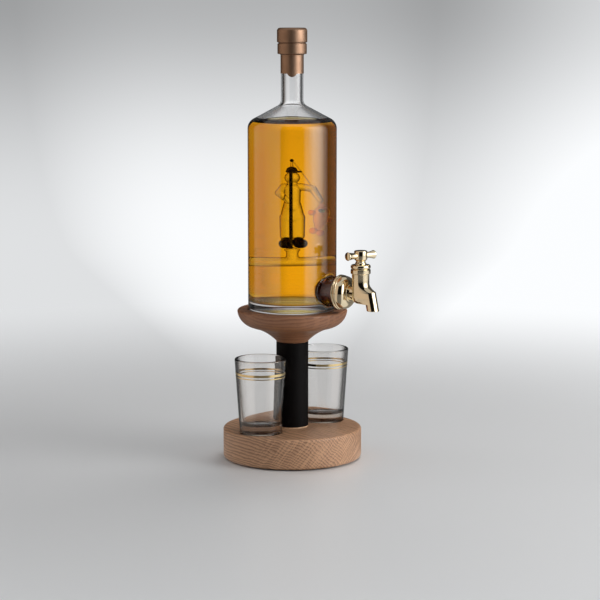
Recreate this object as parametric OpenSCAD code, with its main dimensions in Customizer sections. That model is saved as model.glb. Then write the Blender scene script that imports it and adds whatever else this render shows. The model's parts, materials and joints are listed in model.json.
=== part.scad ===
// Whisky decanter with tap: a clear glass bottle with a glass angler inside it, a plug tap in
// its side branch, a turned wooden stand and two shot glasses.
// Millimetres, +Z up, origin on the floor under the stand's axis, +X the way the tap pours.

/* [Stand] */
// Diameter of the round base
base_d = 126; // [122:1:150]
// Thickness of the wooden base
base_h = 27.5; // [18:0.5:40]
// Rounding on the edges of the base
base_round = 2.4; // [1:0.2:2.4]
// Thickness of the felt under the base
felt_t = 1; // [0.5:0.5:2]
// Bare wood left around the felt
felt_margin = 5; // [3:1:12]
// Diameter of the wooden column
column_d = 28.6; // [24:0.2:30]
// Height of the column between the base and the dish
column_h = 78.5; // [74:0.5:110]
// Diameter of the tenon at each end of the column
tenon_d = 18; // [12:1:20]
// Length of each tenon
tenon_l = 9; // [5:1:12]
// Thickness of the black label around the column
label_t = 0.25; // [0.1:0.05:0.5]
// Bare wood between the label and the base
label_margin = 1; // [0.5:0.5:6]

/* [Dish] */
// Diameter of the dish that carries the bottle
dish_d = 100; // [94:1:120]
// Diameter of the dish's foot on the column
dish_foot_d = 28; // [24:1:30]
// Radius of the hollow under the dish
cove_r = 48; // [40:1:52]
// Slope of the hollow where it leaves the column
cove_steep = 47; // [40:1:52]
// Slope of the hollow where it turns into the rim
cove_flat = 14; // [8:1:20]
// Rounding on top of the rim
rim_round = 2; // [1:0.5:3]
// Depth of the seat the bottle stands in
seat_depth = 2; // [1:0.5:4]

/* [Screws] */
// Shank diameter of both wood screws
screw_d = 4; // [3:0.5:5]
// Head diameter of both wood screws
screw_head_d = 8; // [7:0.5:10]
// Length of both wood screws
screw_l = 38; // [32:1:40]
// Depth of the counterbore over each head
screw_sink = 3; // [1:0.5:4]

/* [Bottle] */
// Outside diameter of the bottle
bottle_d = 80; // [74:1:84]
// Wall of the body and the shoulder
wall = 2.6; // [2:0.1:3.4]
// Height of the straight body
body_h = 165; // [160:1:200]
// Rounding of the outer edge at the foot
heel_r = 4; // [2:0.5:6]
// Diameter of the hollow under the foot
punt_d = 60; // [40:1:62]
// Height of the hollow under the foot
punt_h = 3.5; // [2:0.5:4.5]
// Glass under the liquid at the wall
floor_t = 9.3; // [7:0.1:10.5]
// Rise of the inner floor in the middle
floor_rise = 5; // [1:0.5:6]
// Rounding of the inner edge at the floor
floor_round = 3.5; // [2:0.5:4]
// Rounding where the body turns into the shoulder
shoulder_r = 10; // [6:1:14]
// Slope of the shoulder
shoulder_slope = 28; // [20:1:40]
// Rounding where the shoulder turns into the neck
neck_fillet = 6; // [3:0.5:10]
// Outside diameter of the neck
neck_d = 20; // [18:0.5:24]
// Bore of the neck
bore_d = 14.8; // [12:0.2:15]
// Length of the straight neck up to the ring
neck_h = 41; // [36:1:60]
// Diameter of the ring at the mouth
ring_d = 25.5; // [25.2:0.1:32]
// Height of the ring at the mouth
ring_h = 9; // [6:0.5:12]
// Rounding on the ring's edges
ring_round = 1.2; // [0.6:0.2:2]

/* [Branch] */
// Height of the tap's axis above the bottle's foot
tap_h = 21; // [20:0.5:26]
// Outside diameter of the glass branch
branch_d = 27; // [25:0.5:28]
// Bore of the glass branch
branch_bore = 20; // [18:0.5:20]
// Reach of the glass branch beyond the body
branch_l = 13; // [10:0.5:18]

/* [Tap] */
// Diameter of the domed rose over the branch
rose_d = 31.4; // [31:0.2:36]
// Length of the rose along the tap
rose_l = 12.5; // [11:0.5:16]
// How far the rose reaches over the branch
rose_lap = 2.5; // [1.5:0.5:3]
// Thickness of the gasket inside the rose
gasket_t = 1.2; // [0.8:0.2:2]
// Free length of the inlet between the rose and the barrel
inlet_l = 2.2; // [1.5:0.1:6]
// Diameter of the tail in the bung
tail_d = 9.6; // [9:0.2:11]
// Reach of the tail into the bottle, from the wall's inside
tail_reach = 13; // [8:0.5:14]
// Waterway through the tap
waterway_d = 5; // [3:0.5:5.5]
// Outside diameter of the barrel
barrel_d = 15.6; // [15.4:0.2:18]
// Height of the barrel above the tap's axis, up to the collar
barrel_h = 18; // [17:0.5:24]
// Depth of the barrel below the tap's axis
barrel_drop = 8.8; // [8.6:0.2:12]
// Diameter of the collar and the gland nut
collar_d = 17.8; // [17.4:0.2:20]
// Height of the collar
collar_h = 4.3; // [4:0.1:7]
// Height of the gland nut's head
gland_h = 4; // [3:0.5:6]
// Diameter of the plug
plug_d = 10; // [9:0.2:10.2]
// Diameter of the plug's stem
stem_d = 6; // [5.6:0.2:6.2]
// Outside diameter of the spout
spout_d = 11; // [9:0.2:13]
// Bore of the spout
spout_bore = 8; // [5:0.5:8.4]
// Reach of the outlet in front of the barrel's axis
spout_reach = 13; // [12:0.2:18]
// Drop of the outlet below the tap's axis
spout_drop = 14.5; // [12:0.5:20]
// Lean of the spout out of the vertical
spout_lean = 12; // [0:1:15]

/* [Handle] */
// Diameter of the hub
hub_d = 11.8; // [11:0.2:15]
// Height of the hub above the gland nut
hub_h = 12.4; // [11.5:0.1:16]
// Diameter of the hub's neck
hub_neck_d = 8.4; // [8:0.2:10]
// Length of the bar over both arms
bar_l = 30.8; // [28:0.2:40]
// Diameter of the arms beside the hub
arm_root_d = 5.2; // [4:0.2:6]
// Diameter of the arms at their ends
arm_end_d = 7.6; // [6:0.2:9]
// Turn of the bar out of square to the tap, when shut
handle_turn = -20; // [-45:1:45]
// Quarter turn from shut to open
turn_angle = 90; // [60:5:90]

/* [Stopper] */
// Diameter of the stopper's head
head_d = 26.4; // [24:0.2:30]
// Height of the stopper's head
head_h = 12.8; // [10:0.2:18]
// Rounding on the top of the head
head_round = 2.6; // [1:0.2:4]
// Length of the cork below the head
cork_l = 20; // [14:1:26]
// Thickness of the copper capsule
foil_t = 0.35; // [0.3:0.05:0.5]
// Length of the capsule's skirt below the mouth
skirt_l = 26.5; // [18:0.5:34]
// Width of the tear tab on the skirt
tab_w = 6; // [4:0.5:8]
// Length of the tear tab below the skirt
tab_l = 3; // [2:0.5:5]
// Direction of the tear tab about the axis
tab_turn = 33; // [0:1:90]

/* [Figure] */
// Diameter of the glass rod that bridges the bottle
bridge_d = 8.4; // [6:0.2:10]
// Height of the bridge above the bottle's foot
bridge_h = 46; // [42:0.5:56]
// Turn of the bridge and the figure about the bottle's axis
figure_turn = 46; // [0:1:90]
// Height of the stem under the boots
stem_h = 9; // [5:0.5:14]
// Height of the boots
boot_h = 9.8; // [8:0.2:12]
// Length of the legs above the boots
leg_l = 22; // [18:0.5:30]
// Diameter of each leg at the boot
leg_d = 9.6; // [8:0.2:10]
// Length of the trunk from the hips to the neck
trunk_l = 27; // [24:0.5:34]
// Diameter of the trunk at the waist
waist_d = 12; // [10:0.2:14]
// Diameter of the trunk at the chest
chest_d = 14; // [12:0.2:16]
// Diameter of the head
skull_d = 10.4; // [9:0.2:12]
// Diameter of the cap's crown
cap_d = 9; // [8:0.2:11]
// Height of the cap
cap_h = 6.2; // [4:0.2:8]
// Thickness of the arms
arm_d = 4.6; // [4:0.2:5.4]
// Thickness of the fishing rod
rod_d = 2.6; // [1.8:0.1:3]
// Place of the fishing rod beside the figure's middle
rod_aside = 2.6; // [1:0.2:3.4]
// Height of the rod's tip above the middle of the head
rod_over = 15.5; // [12:0.5:18]
// Length of the fish
fish_l = 29; // [22:0.5:31]
// Thickness of the fish
fish_d = 9.6; // [8:0.2:11]
// Thickness of the fishing line
line_d = 0.8; // [0.5:0.1:1.2]

/* [Glasses] */
// Diameter of each shot glass at the rim
glass_rim_d = 47; // [42:0.5:48]
// Diameter of each shot glass at the foot
glass_foot_d = 38; // [34:0.5:38]
// Height of each shot glass
glass_h = 69.5; // [55:0.5:72]
// Wall of the shot glasses at the rim
glass_wall = 2; // [1.5:0.1:3]
// Solid glass under each shot glass
glass_floor = 9; // [5:0.5:12]
// Distance of each shot glass from the column's axis
glass_reach = 40; // [39:0.5:41]
// Direction of the line through both shot glasses
glass_line = 79; // [60:1:120]
// Depth of the shallow seats for the shot glasses
glass_seat = 2; // [1:0.5:3]
// Distance of the wide gold band below the rim
band_drop = 12; // [8:0.5:20]
// Width of the wide gold band
band_w = 2.2; // [1.5:0.1:4]
// Width of the narrow gold band
line_w = 0.9; // [0.6:0.1:1.5]
// Space between the two gold bands
band_space = 1.4; // [1:0.1:3]
// Thickness of the gold
gold_t = 0.12; // [0.1:0.02:0.3]

/* [Fits] */
// Gap around a pin that turns or slides
run_gap = 0.06; // [0.04:0.01:0.08]
// Gap between pieces that are glued, fused or screwed
fix_gap = 0.02; // [0.02:0.01:0.04]
// Gap under a piece that only stands in its place
rest_gap = 0.1; // [0.05:0.05:0.3]
// Gap around the foot of the bottle and of the glasses
seat_gap = 0.6; // [0.4:0.1:1]

/* [Hidden] */
$fn = 96;
far = 200;
arc_steps = 8;

cross_l = 4.4;
cross_w = 1;
cross_depth = 1.2;
screw_ease = 0.1;

base_r = base_d / 2;
base_top = felt_t + base_h;
column_r = column_d / 2;
dish_z = base_top + column_h;
dish_r = dish_d / 2;
dish_foot_r = dish_foot_d / 2;
cove_x = dish_foot_r + cove_r * sin(cove_steep);
cove_y = -cove_r * cos(cove_steep);
rim_in_x = cove_x - cove_r * sin(cove_flat);
rim_in_y = cove_y + cove_r * cos(cove_flat);
rim_r = (dish_r - rim_in_x) / (1 - sin(cove_flat));
dish_h = rim_in_y + rim_r * cos(cove_flat);
dish_top = dish_z + dish_h;

bottle_r = bottle_d / 2;
bottle_z = dish_top - seat_depth + rest_gap;
inner_r = bottle_r - wall;
neck_r = neck_d / 2;
bore_r = bore_d / 2;
neck_wall = neck_r - bore_r;
turn = 90 - shoulder_slope;
slope_r = bottle_r - shoulder_r + shoulder_r * cos(turn);
slope_z = body_h + shoulder_r * sin(turn);
neck_in_r = neck_r + neck_fillet - neck_fillet * cos(turn);
neck_z = slope_z + (slope_r - neck_in_r) * tan(shoulder_slope) + neck_fillet * sin(turn);
ring_z = neck_z + neck_h;
lip_z = ring_z + ring_h;
mouth_z = bottle_z + lip_z;

tap_z = bottle_z + tap_h;
branch_end = bottle_r + branch_l;
rose_x = branch_end - rose_lap;
rose_front = rose_x + rose_l;
barrel_r = barrel_d / 2;
barrel_x = rose_front + inlet_l + barrel_r;
tail_r = tail_d / 2;
tail_x = inner_r - tail_reach;
nut_l = 4;
nut_d = 15;
tail_end = 0.6;
bung_x = tail_x + tail_end + nut_l;
inlet_r = 6.2;
collar_top = barrel_h + collar_h;
gland_top = collar_top + gland_h;
plug_r = plug_d / 2;
plug_drop = waterway_d / 2 + 2.4;
plug_top = barrel_h - 6;
packing_h = 2.4;
gland_seat = plug_top + packing_h + 0.2;
spigot_r = plug_r + 1.3;
stem_r = stem_d / 2;
square_w = stem_r * 1.4;
hub_low = gland_top + 0.4;
hub_top = hub_low + hub_h;
arm_z = hub_top - 4.8;
// The spout's axis leans out from the vertical and ends at the outlet
spout_end = [spout_reach, 0, -spout_drop];
spout_way = [-sin(spout_lean), 0, cos(spout_lean)];
spout_l = spout_drop + spout_d / 2;
spout_top = spout_end + spout_l * spout_way;
spout_mid = spout_end + (spout_drop - 2) * spout_way;
spout_root_r = spout_d / 2 + 0.7;
peg_l = 2.4;
peg_r = 1.5;
grub_r = 1.2;
stop_z = gland_seat + 2;
stop_r = 0.8;
ring_cut_r = 0.7;

head_r = head_d / 2;
head_gap = 0.8;
cork_r = bore_r - run_gap;
cork_socket = 4;

bridge_z = bottle_z + bridge_h;
sole_z = bridge_d / 2 + stem_h - 1;
hem_z = sole_z + boot_h;
hip_z = hem_z + leg_l;
waist_z = hip_z + trunk_l * 0.36;
chest_z = hip_z + trunk_l * 0.72;
collar_z = hip_z + trunk_l;
skull_z = collar_z + skull_d / 2 - 0.6;
leg_x = leg_d / 2 - 0.7;
boot_gap = 0.15;
toe_r = leg_x + 0.4;
toe_out = 1;
toe_fore = 2.2;
arm_r = arm_d / 2;
joint_r = arm_r + 0.15;
shoulder_z = collar_z - 3.6;
rod_x = -rod_aside;
rod_y = -chest_d / 2 - 0.8;
rod_top = skull_z + rod_over;
left_shoulder = [-chest_d / 2 + 1.6, 0, shoulder_z];
left_elbow = [-chest_d / 2 - 4, -2, shoulder_z - 5.4];
left_hand = [rod_x - 2, rod_y + 0.8, shoulder_z - 12.5];
right_shoulder = [chest_d / 2 - 1.6, 0, shoulder_z];
right_elbow = [chest_d / 2 + 7, -1.5, shoulder_z - 0.8];
right_hand = [chest_d / 2 + 12, -3, shoulder_z - 12.5];
fish_top = right_hand - [0, 0, joint_r + 0.1];
line_top = [rod_x + rod_d / 2 + line_d / 2 + 0.1, rod_y, rod_top - 0.8];

glass_foot_r = glass_foot_d / 2;
glass_rim_r = glass_rim_d / 2;
glass_z = base_top - glass_seat + rest_gap;
heel_in = 1.6;

oak = [0.62, 0.42, 0.24];
black = [0.06, 0.06, 0.06];
steel = [0.7, 0.7, 0.72];
clear = [0.85, 0.92, 0.94, 0.35];
copper = [0.72, 0.42, 0.28];
gold = [0.86, 0.7, 0.4];
rubber = [0.1, 0.08, 0.07];

// Points along an arc, from angle a to angle b
function arc(cx, cy, r, a, b) =
    [for (i = [0:arc_steps]) [cx + r * cos(a + (b - a) * i / arc_steps),
                              cy + r * sin(a + (b - a) * i / arc_steps)]];

// Radius of the sphere that rises h over a circle of radius r
function cap_radius(r, h) = (r * r + h * h) / (2 * h);

// Points of a shallow dome over the axis, from its edge to its middle
function dome(r, z, h) =
    [for (i = [0:arc_steps]) let (s = cap_radius(r, h), x = r * (1 - i / arc_steps))
        [x, z + h - s + sqrt(s * s - x * x)]];

// A smooth run of points between two [radius, height] stations
function ease(p, q) =
    [for (i = [0:5]) let (t = i / 5, k = (1 - cos(180 * t)) / 2)
        [p[0] + (q[0] - p[0]) * k, p[1] + (q[1] - p[1]) * t]];

// Puts what it is given on the line from p towards q, standing on p
module along(p, q) {
    d = q - p;
    translate(p)
        rotate([0, acos(d[2] / norm(d)), atan2(d[1], d[0])])
            children();
}

module rod_between(p, q, r) {
    along(p, q) cylinder(h = norm(q - p), r = r);
}

// Turns a shape that stands on the Z axis so that it lies along +X
module lie_along_x() {
    rotate([0, 90, 0]) children();
}

module at_tap() {
    translate([barrel_x, 0, tap_z]) children();
}

module at_figure() {
    translate([0, 0, bridge_z]) rotate([0, 0, figure_turn]) children();
}

// Places a glass on its seat: side 1 behind, side -1 in front
module at_glass(side) {
    rotate([0, 0, glass_line]) translate([side * glass_reach, 0, glass_z]) children();
}

// A countersunk wood screw with its point up, its head's face at z = 0
module wood_screw() {
    head_h = (screw_head_d - screw_d) / 2;
    difference() {
        union() {
            cylinder(h = head_h, d1 = screw_head_d, d2 = screw_d);
            cylinder(h = screw_l - screw_d, d = screw_d);
            translate([0, 0, screw_l - screw_d]) cylinder(h = screw_d, d1 = screw_d, d2 = 1);
        }
        for (a = [0, 90])
            rotate([0, 0, a]) translate([-cross_l / 2, -cross_w / 2, -1])
                cube([cross_l, cross_w, 1 + cross_depth]);
    }
}

// The hole for that screw, with a sunk mouth for its head
module screw_hole() {
    head_h = (screw_head_d - screw_d) / 2;
    translate([0, 0, -far / 10]) cylinder(h = far / 10, d = screw_head_d + 1);
    cylinder(h = head_h, d1 = screw_head_d + screw_ease, d2 = screw_d + screw_ease);
    cylinder(h = screw_l + 1, d = screw_d + screw_ease);
}

module at_base_screw() {
    translate([0, 0, felt_t + screw_sink]) children();
}

module at_dish_screw() {
    translate([0, 0, dish_top - seat_depth - screw_sink]) mirror([0, 0, 1]) children();
}

module base_disc() {
    r = base_r - base_round;
    edge = concat([[0, felt_t]],
                  arc(r, felt_t + base_round, base_round, -90, 0),
                  arc(r, base_top - base_round, base_round, 0, 90),
                  [[0, base_top]]);
    color(oak) difference() {
        rotate_extrude() polygon(edge);
        translate([0, 0, base_top - tenon_l - 0.5]) cylinder(h = far, d = tenon_d + 2 * fix_gap);
        for (side = [-1, 1])
            at_glass(side) translate([0, 0, -rest_gap]) cylinder(h = far / 10, r = glass_foot_r + seat_gap);
        at_base_screw() screw_hole();
    }
}

module base_felt() {
    color(black) cylinder(h = felt_t, r = base_r - felt_margin);
}

module base_screw() {
    color(steel) at_base_screw() wood_screw();
}

module column() {
    color(oak) difference() {
        union() {
            translate([0, 0, base_top]) cylinder(h = column_h, r = column_r);
            translate([0, 0, base_top - tenon_l])
                cylinder(h = column_h + 2 * tenon_l, d = tenon_d);
        }
        at_base_screw() screw_hole();
        at_dish_screw() screw_hole();
    }
}

module column_label() {
    low = base_top + label_margin;
    color(black) difference() {
        translate([0, 0, low]) cylinder(h = dish_z - low, r = column_r + fix_gap + label_t);
        translate([0, 0, low - 1]) cylinder(h = far, r = column_r + fix_gap);
    }
}

module dish() {
    cove = [for (i = [0:arc_steps]) let (t = cove_steep + (cove_flat - cove_steep) * i / arc_steps)
        [cove_x - cove_r * sin(t), cove_y + cove_r * cos(t)]];
    rim_x = dish_r - rim_r;
    rim_end = asin(-rim_round / rim_r);
    rim = arc(rim_x, dish_h, rim_r, cove_flat - 90, rim_end);
    lip_x = rim_x + rim_r * cos(rim_end) - rim_round;
    lip = arc(lip_x, dish_h - rim_round, rim_round, 0, 90);
    color(oak) translate([0, 0, dish_z]) difference() {
        rotate_extrude() polygon(concat([[0, 0]], cove, rim, lip, [[0, dish_h]]));
        translate([0, 0, dish_h - seat_depth]) cylinder(h = far, r = bottle_r + seat_gap);
        translate([0, 0, -1]) cylinder(h = tenon_l + 1.5, d = tenon_d + 2 * fix_gap);
        translate([0, 0, -dish_z]) at_dish_screw() screw_hole();
    }
}

module dish_screw() {
    color(steel) at_dish_screw() wood_screw();
}

// Outline of the bottle's outside, from the foot to the mouth
function bottle_outside() =
    let (foot = dome(punt_d / 2, 0, punt_h))
    concat([for (i = [arc_steps:-1:0]) foot[i]],
           arc(bottle_r - heel_r, heel_r, heel_r, -90, 0),
           arc(bottle_r - shoulder_r, body_h, shoulder_r, 0, turn),
           arc(neck_r + neck_fillet, neck_z, neck_fillet, 180 + turn, 180),
           [[neck_r, ring_z]],
           arc(ring_d / 2 - ring_round, ring_z + ring_round, ring_round, -90, 0),
           arc(ring_d / 2 - ring_round, lip_z - ring_round, ring_round, 0, 90));

// Outline of the bottle's inside, from the floor to the mouth
function bottle_inside() =
    let (floor_dome = dome(inner_r - floor_round, floor_t, floor_rise))
    concat([for (i = [arc_steps:-1:0]) floor_dome[i]],
           arc(inner_r - floor_round, floor_t + floor_round, floor_round, -90, 0),
           arc(bottle_r - shoulder_r, body_h, shoulder_r - wall, 0, turn),
           arc(neck_r + neck_fillet, neck_z, neck_fillet + neck_wall, 180 + turn, 180),
           [[bore_r, lip_z + 1], [0, lip_z + 1]]);

module bottle() {
    color(clear) translate([0, 0, bottle_z]) difference() {
        union() {
            rotate_extrude() polygon(concat(bottle_outside(), [[0, lip_z]]));
            translate([bottle_r - wall * 2.2, 0, tap_h]) lie_along_x()
                cylinder(h = branch_end - bottle_r + wall * 2.2, d = branch_d);
        }
        rotate_extrude() polygon(bottle_inside());
        translate([inner_r - 8, 0, tap_h]) lie_along_x() cylinder(h = far, d = branch_bore);
    }
}

// Outline of the tear tab, as seen from the front, through the front half only
module tab_tongue() {
    r = tab_w / 2;
    rotate([0, 0, tab_turn]) rotate([90, 0, 0]) {
        translate([0, r - tab_l, 0]) cylinder(h = far, r = r);
        translate([-r, r - tab_l, 0]) cube([tab_w, tab_l + 1, far]);
    }
}

// The copper skirt: a thin sleeve over the ring and the neck, with a tear tab below it
module capsule_skirt() {
    low = lip_z - skirt_l;
    bottom = low - tab_l;
    ring_in = ring_d / 2 + fix_gap;
    neck_in = neck_r + fix_gap;
    step = ring_z - fix_gap;
    skirt = [[neck_in, bottom], [neck_in + foil_t, bottom], [neck_in + foil_t, step - foil_t],
             [ring_in + foil_t, step - foil_t], [ring_in + foil_t, lip_z - ring_round],
             [ring_in, lip_z - ring_round], [ring_in, step], [neck_in, step]];
    color(copper) translate([0, 0, bottle_z]) difference() {
        rotate_extrude() polygon(skirt);
        difference() {
            translate([0, 0, bottom - 1]) cylinder(h = tab_l + 1, r = neck_d);
            translate([0, 0, low]) tab_tongue();
        }
    }
}

module bridge_rod() {
    stem = concat([[0, 0], [bridge_d / 2 + 1, 0]],
                  ease([bridge_d / 2 + 1, 1.2], [4.2, sole_z * 0.7]),
                  ease([4.2, sole_z * 0.72], [6.4, sole_z]), [[0, sole_z]]);
    color(clear) at_figure() {
        difference() {
            union() {
                translate([-far / 2, 0, 0]) lie_along_x() cylinder(h = far, d = bridge_d);
                rotate_extrude() polygon(stem);
            }
            difference() {
                translate([0, 0, -far / 4]) cylinder(h = far / 2, r = far);
                translate([0, 0, -far / 2]) cylinder(h = far, r = inner_r - fix_gap);
            }
        }
    }
}

module boot(side) {
    x = side * leg_x;
    translate([x, 0, sole_z]) cylinder(h = boot_h, r = leg_x - boot_gap);
    translate([x + side * toe_out, -toe_fore, sole_z]) cylinder(h = boot_h * 0.8, r = toe_r);
}

module angler_boots() {
    color(black) at_figure() {
        boot(-1);
        boot(1);
    }
}

module leg(side) {
    outline = concat([[0, hem_z], [leg_d / 2, hem_z]],
                     ease([leg_d / 2, hem_z + 1], [leg_d / 2 + 0.3, hem_z + leg_l * 0.6]),
                     ease([leg_d / 2 + 0.2, hem_z + leg_l * 0.62], [leg_d / 2 - 1.2, hip_z + 3]),
                     [[0, hip_z + 3]]);
    translate([side * leg_x, 0, 0]) rotate_extrude() polygon(outline);
}

module arm(a, b, c) {
    rod_between(a, b, arm_r);
    rod_between(b, c, arm_r - 0.3);
    translate(a) sphere(joint_r + 0.5);
    translate(b) sphere(joint_r);
    translate(c) sphere(joint_r);
}

module rod_cut() {
    translate([rod_x, rod_y, sole_z - 1]) cylinder(h = far, d = rod_d + 2 * fix_gap);
}

module angler_body() {
    trunk = concat([[0, hip_z - 5], [chest_d / 2 - 1, hip_z - 5]],
                   ease([chest_d / 2 + 0.8, hip_z - 3], [waist_d / 2, waist_z]),
                   ease([waist_d / 2 + 0.05, waist_z + 0.5], [chest_d / 2, chest_z]),
                   ease([chest_d / 2 - 0.05, chest_z + 0.5], [3.4, collar_z]),
                   [[3.4, skull_z], [0, skull_z]]);
    color(clear) at_figure() difference() {
        union() {
            leg(-1);
            leg(1);
            rotate_extrude() polygon(trunk);
            translate([0, 0, skull_z]) sphere(d = skull_d);
            arm(left_shoulder, left_elbow, left_hand);
            arm(right_shoulder, right_elbow, right_hand);
        }
        rod_cut();
    }
}

module angler_cap() {
    brim = skull_z + skull_d * 0.42;
    edge = 0.8;
    crown = concat([[0, brim], [cap_d / 2, brim]],
                   [for (i = [0:arc_steps]) let (t = 90 * i / arc_steps)
                       [cap_d / 2 * cos(t), brim + edge + (cap_h - edge) * sin(t)]]);
    color(black) at_figure() difference() {
        union() {
            rotate_extrude() polygon(crown);
            translate([cap_d * 0.4, -0.6, brim]) cylinder(h = 1.3, d = cap_d * 0.75);
        }
        translate([0, 0, skull_z]) sphere(d = skull_d + 2 * fix_gap);
        rod_cut();
    }
}

module fishing_rod() {
    color(black) at_figure() translate([rod_x, rod_y, 0]) {
        translate([0, 0, sole_z]) cylinder(h = rod_top - sole_z, d = rod_d);
        translate([0, 0, rod_top]) sphere(d = rod_d + 0.6);
    }
}

module fishing_line() {
    color(clear) at_figure() difference() {
        rod_between(line_top, right_hand, line_d / 2);
        translate(right_hand) sphere(joint_r + fix_gap);
        rod_between(right_elbow, right_hand, arm_r + 0.2);
    }
}

module fish_shape(grow) {
    r = fish_d / 2 + grow;
    flank = concat([[0, grow], [1, grow]],
                   ease([1.2, -0.6], [r, -fish_l * 0.34]),
                   ease([r, -fish_l * 0.35], [1.7 + grow, -fish_l * 0.82]),
                   [[1.6 + grow, -fish_l * 0.86 - grow], [0, -fish_l * 0.86 - grow]]);
    translate(fish_top) rotate_extrude() polygon(flank);
}

module fish() {
    color([0.86, 0.5, 0.5]) at_figure() fish_shape(0);
}

module fish_fins() {
    color([0.85, 0.4, 0.12]) at_figure() difference() {
        translate(fish_top) rotate([90, 0, 0]) {
            translate([0, -fish_l * 0.93, -0.8]) cylinder(h = 1.6, d = fish_d * 0.86);
            translate([-fish_d * 0.52, -fish_l * 0.28, -0.8]) cylinder(h = 1.6, d = fish_d * 0.46);
            translate([fish_d * 0.5, -fish_l * 0.5, -0.8]) cylinder(h = 1.6, d = fish_d * 0.4);
        }
        fish_shape(fix_gap);
    }
}

module branch_bung() {
    color(rubber) translate([bung_x, 0, tap_z]) lie_along_x() difference() {
        cylinder(h = branch_end - bung_x, d = branch_bore - 2 * run_gap);
        translate([0, 0, -1]) cylinder(h = far, r = tail_r + fix_gap);
    }
}

module tail_nut() {
    color(gold) translate([tail_x + tail_end, 0, tap_z]) lie_along_x() difference() {
        cylinder(h = nut_l, d = nut_d, $fn = 6);
        translate([0, 0, -1]) cylinder(h = nut_l + 2, r = tail_r + fix_gap);
    }
}

module rose_gasket() {
    color(rubber) translate([branch_end, 0, tap_z]) lie_along_x() difference() {
        cylinder(h = gasket_t, d = branch_d);
        translate([0, 0, -1]) cylinder(h = gasket_t + 2, r = tail_r + 0.4);
    }
}

// The domed rose: a bead at the rear, then a round shoulder that draws in to the inlet
module tap_rose() {
    r = rose_d / 2;
    neck = inlet_r + 1.6;
    bead = 1.1;
    curve = [for (i = [0:arc_steps]) let (t = 90 * i / arc_steps)
        [neck + (r - 0.6 - neck) * cos(t), 2 * bead + 0.4 + (rose_l - 1.9 - 2 * bead) * sin(t)]];
    outline = concat([[0, 0], [r - bead, 0]], arc(r - bead, bead, bead, -90, 90),
                     [[r - bead - 0.5, 2 * bead + 0.2]], curve,
                     [[neck, rose_l - 0.6], [neck - 0.6, rose_l], [0, rose_l]]);
    color(gold) translate([rose_x, 0, tap_z]) lie_along_x() difference() {
        rotate_extrude() polygon(outline);
        translate([0, 0, -1]) cylinder(h = rose_lap + gasket_t + 1, d = branch_d + 0.6);
        translate([0, 0, -1]) cylinder(h = rose_l + 2, r = tail_r + fix_gap);
    }
}

module tap_body() {
    shell = concat([[0, -barrel_drop]], arc(0, barrel_r - barrel_drop, barrel_r, -80, 0),
                   [[barrel_r, barrel_h - 0.8]],
                   arc(collar_d / 2 - 0.6, barrel_h + 0.6, 0.6, -90, 0),
                   [[collar_d / 2, collar_top - 0.7], [collar_d / 2 - 0.7, collar_top], [0, collar_top]]);
    color(gold) difference() {
        union() {
            translate([tail_x, 0, tap_z]) lie_along_x() cylinder(h = barrel_x - tail_x, r = tail_r);
            translate([rose_front, 0, tap_z]) lie_along_x()
                cylinder(h = barrel_x - rose_front, r = inlet_r);
            at_tap() {
                rotate_extrude() polygon(shell);
                rod_between([0, 0, barrel_h * 0.42], spout_mid, spout_root_r);
                translate(spout_mid) sphere(spout_root_r + 0.25);
                rod_between(spout_end - spout_d / 2 * spout_way, spout_top, spout_d / 2);
            }
        }
        translate([tail_x - 1, 0, tap_z]) lie_along_x()
            cylinder(h = barrel_x - tail_x + 1, d = waterway_d);
        at_tap() {
            lie_along_x() cylinder(h = spout_reach, d = waterway_d);
            rod_between(spout_end - spout_d * spout_way, spout_end + (spout_drop + 1) * spout_way,
                        spout_bore / 2);
            translate([spout_reach, 0, -spout_drop - far]) cylinder(h = far, r = spout_d);
            translate([0, 0, -plug_drop - rest_gap]) cylinder(h = far, r = plug_r + run_gap);
            translate([0, 0, gland_seat]) cylinder(h = far, r = spigot_r + run_gap);
        }
    }
}

module gland_packing() {
    color(rubber) at_tap() translate([0, 0, plug_top + 0.1]) difference() {
        cylinder(h = packing_h, r = plug_r);
        translate([0, 0, -1]) cylinder(h = packing_h + 2, r = stem_r + run_gap);
    }
}

// The nut that keeps the plug in, with a quarter-turn slot for the stop pin
module gland_nut() {
    spread = asin((stop_r + 0.15) / (stem_r + 0.8));
    head = concat([[0, collar_top], [collar_d / 2 - 0.7, collar_top], [collar_d / 2, collar_top + 0.7]],
                  arc(collar_d / 2 - 1.2, gland_top - 1.2, 1.2, 0, 90), [[0, gland_top]]);
    color(gold) at_tap() difference() {
        union() {
            translate([0, 0, gland_seat + 0.1]) cylinder(h = collar_top - gland_seat, r = spigot_r);
            rotate_extrude() polygon(head);
        }
        cylinder(h = far, r = stem_r + run_gap);
        translate([0, 0, gland_seat - 1]) rotate([0, 0, -spread])
            rotate_extrude(angle = turn_angle + 2 * spread) square([stem_r + 2, stop_z - gland_seat + 2.2]);
    }
}

module valve_plug() {
    groove = ring_cut_r * 2 + 0.3;
    low = waterway_d / 2 + 2;
    color(gold) at_tap() difference() {
        union() {
            translate([0, 0, -plug_drop]) cylinder(h = plug_top + plug_drop, r = plug_r);
            cylinder(h = hub_low, r = stem_r);
            translate([-square_w / 2, -square_w / 2, 0]) cube([square_w, square_w, hub_top - 3]);
        }
        rotate([90, 0, 0]) translate([0, 0, -far / 2]) cylinder(h = far, d = waterway_d);
        for (z = [low, low + groove + 1.4])
            translate([0, 0, z - groove / 2]) difference() {
                cylinder(h = groove, r = plug_r + 1);
                translate([0, 0, -1]) cylinder(h = groove + 2, r = plug_r - 2 * ring_cut_r - 0.06);
            }
        stop_hole();
    }
}

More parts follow.
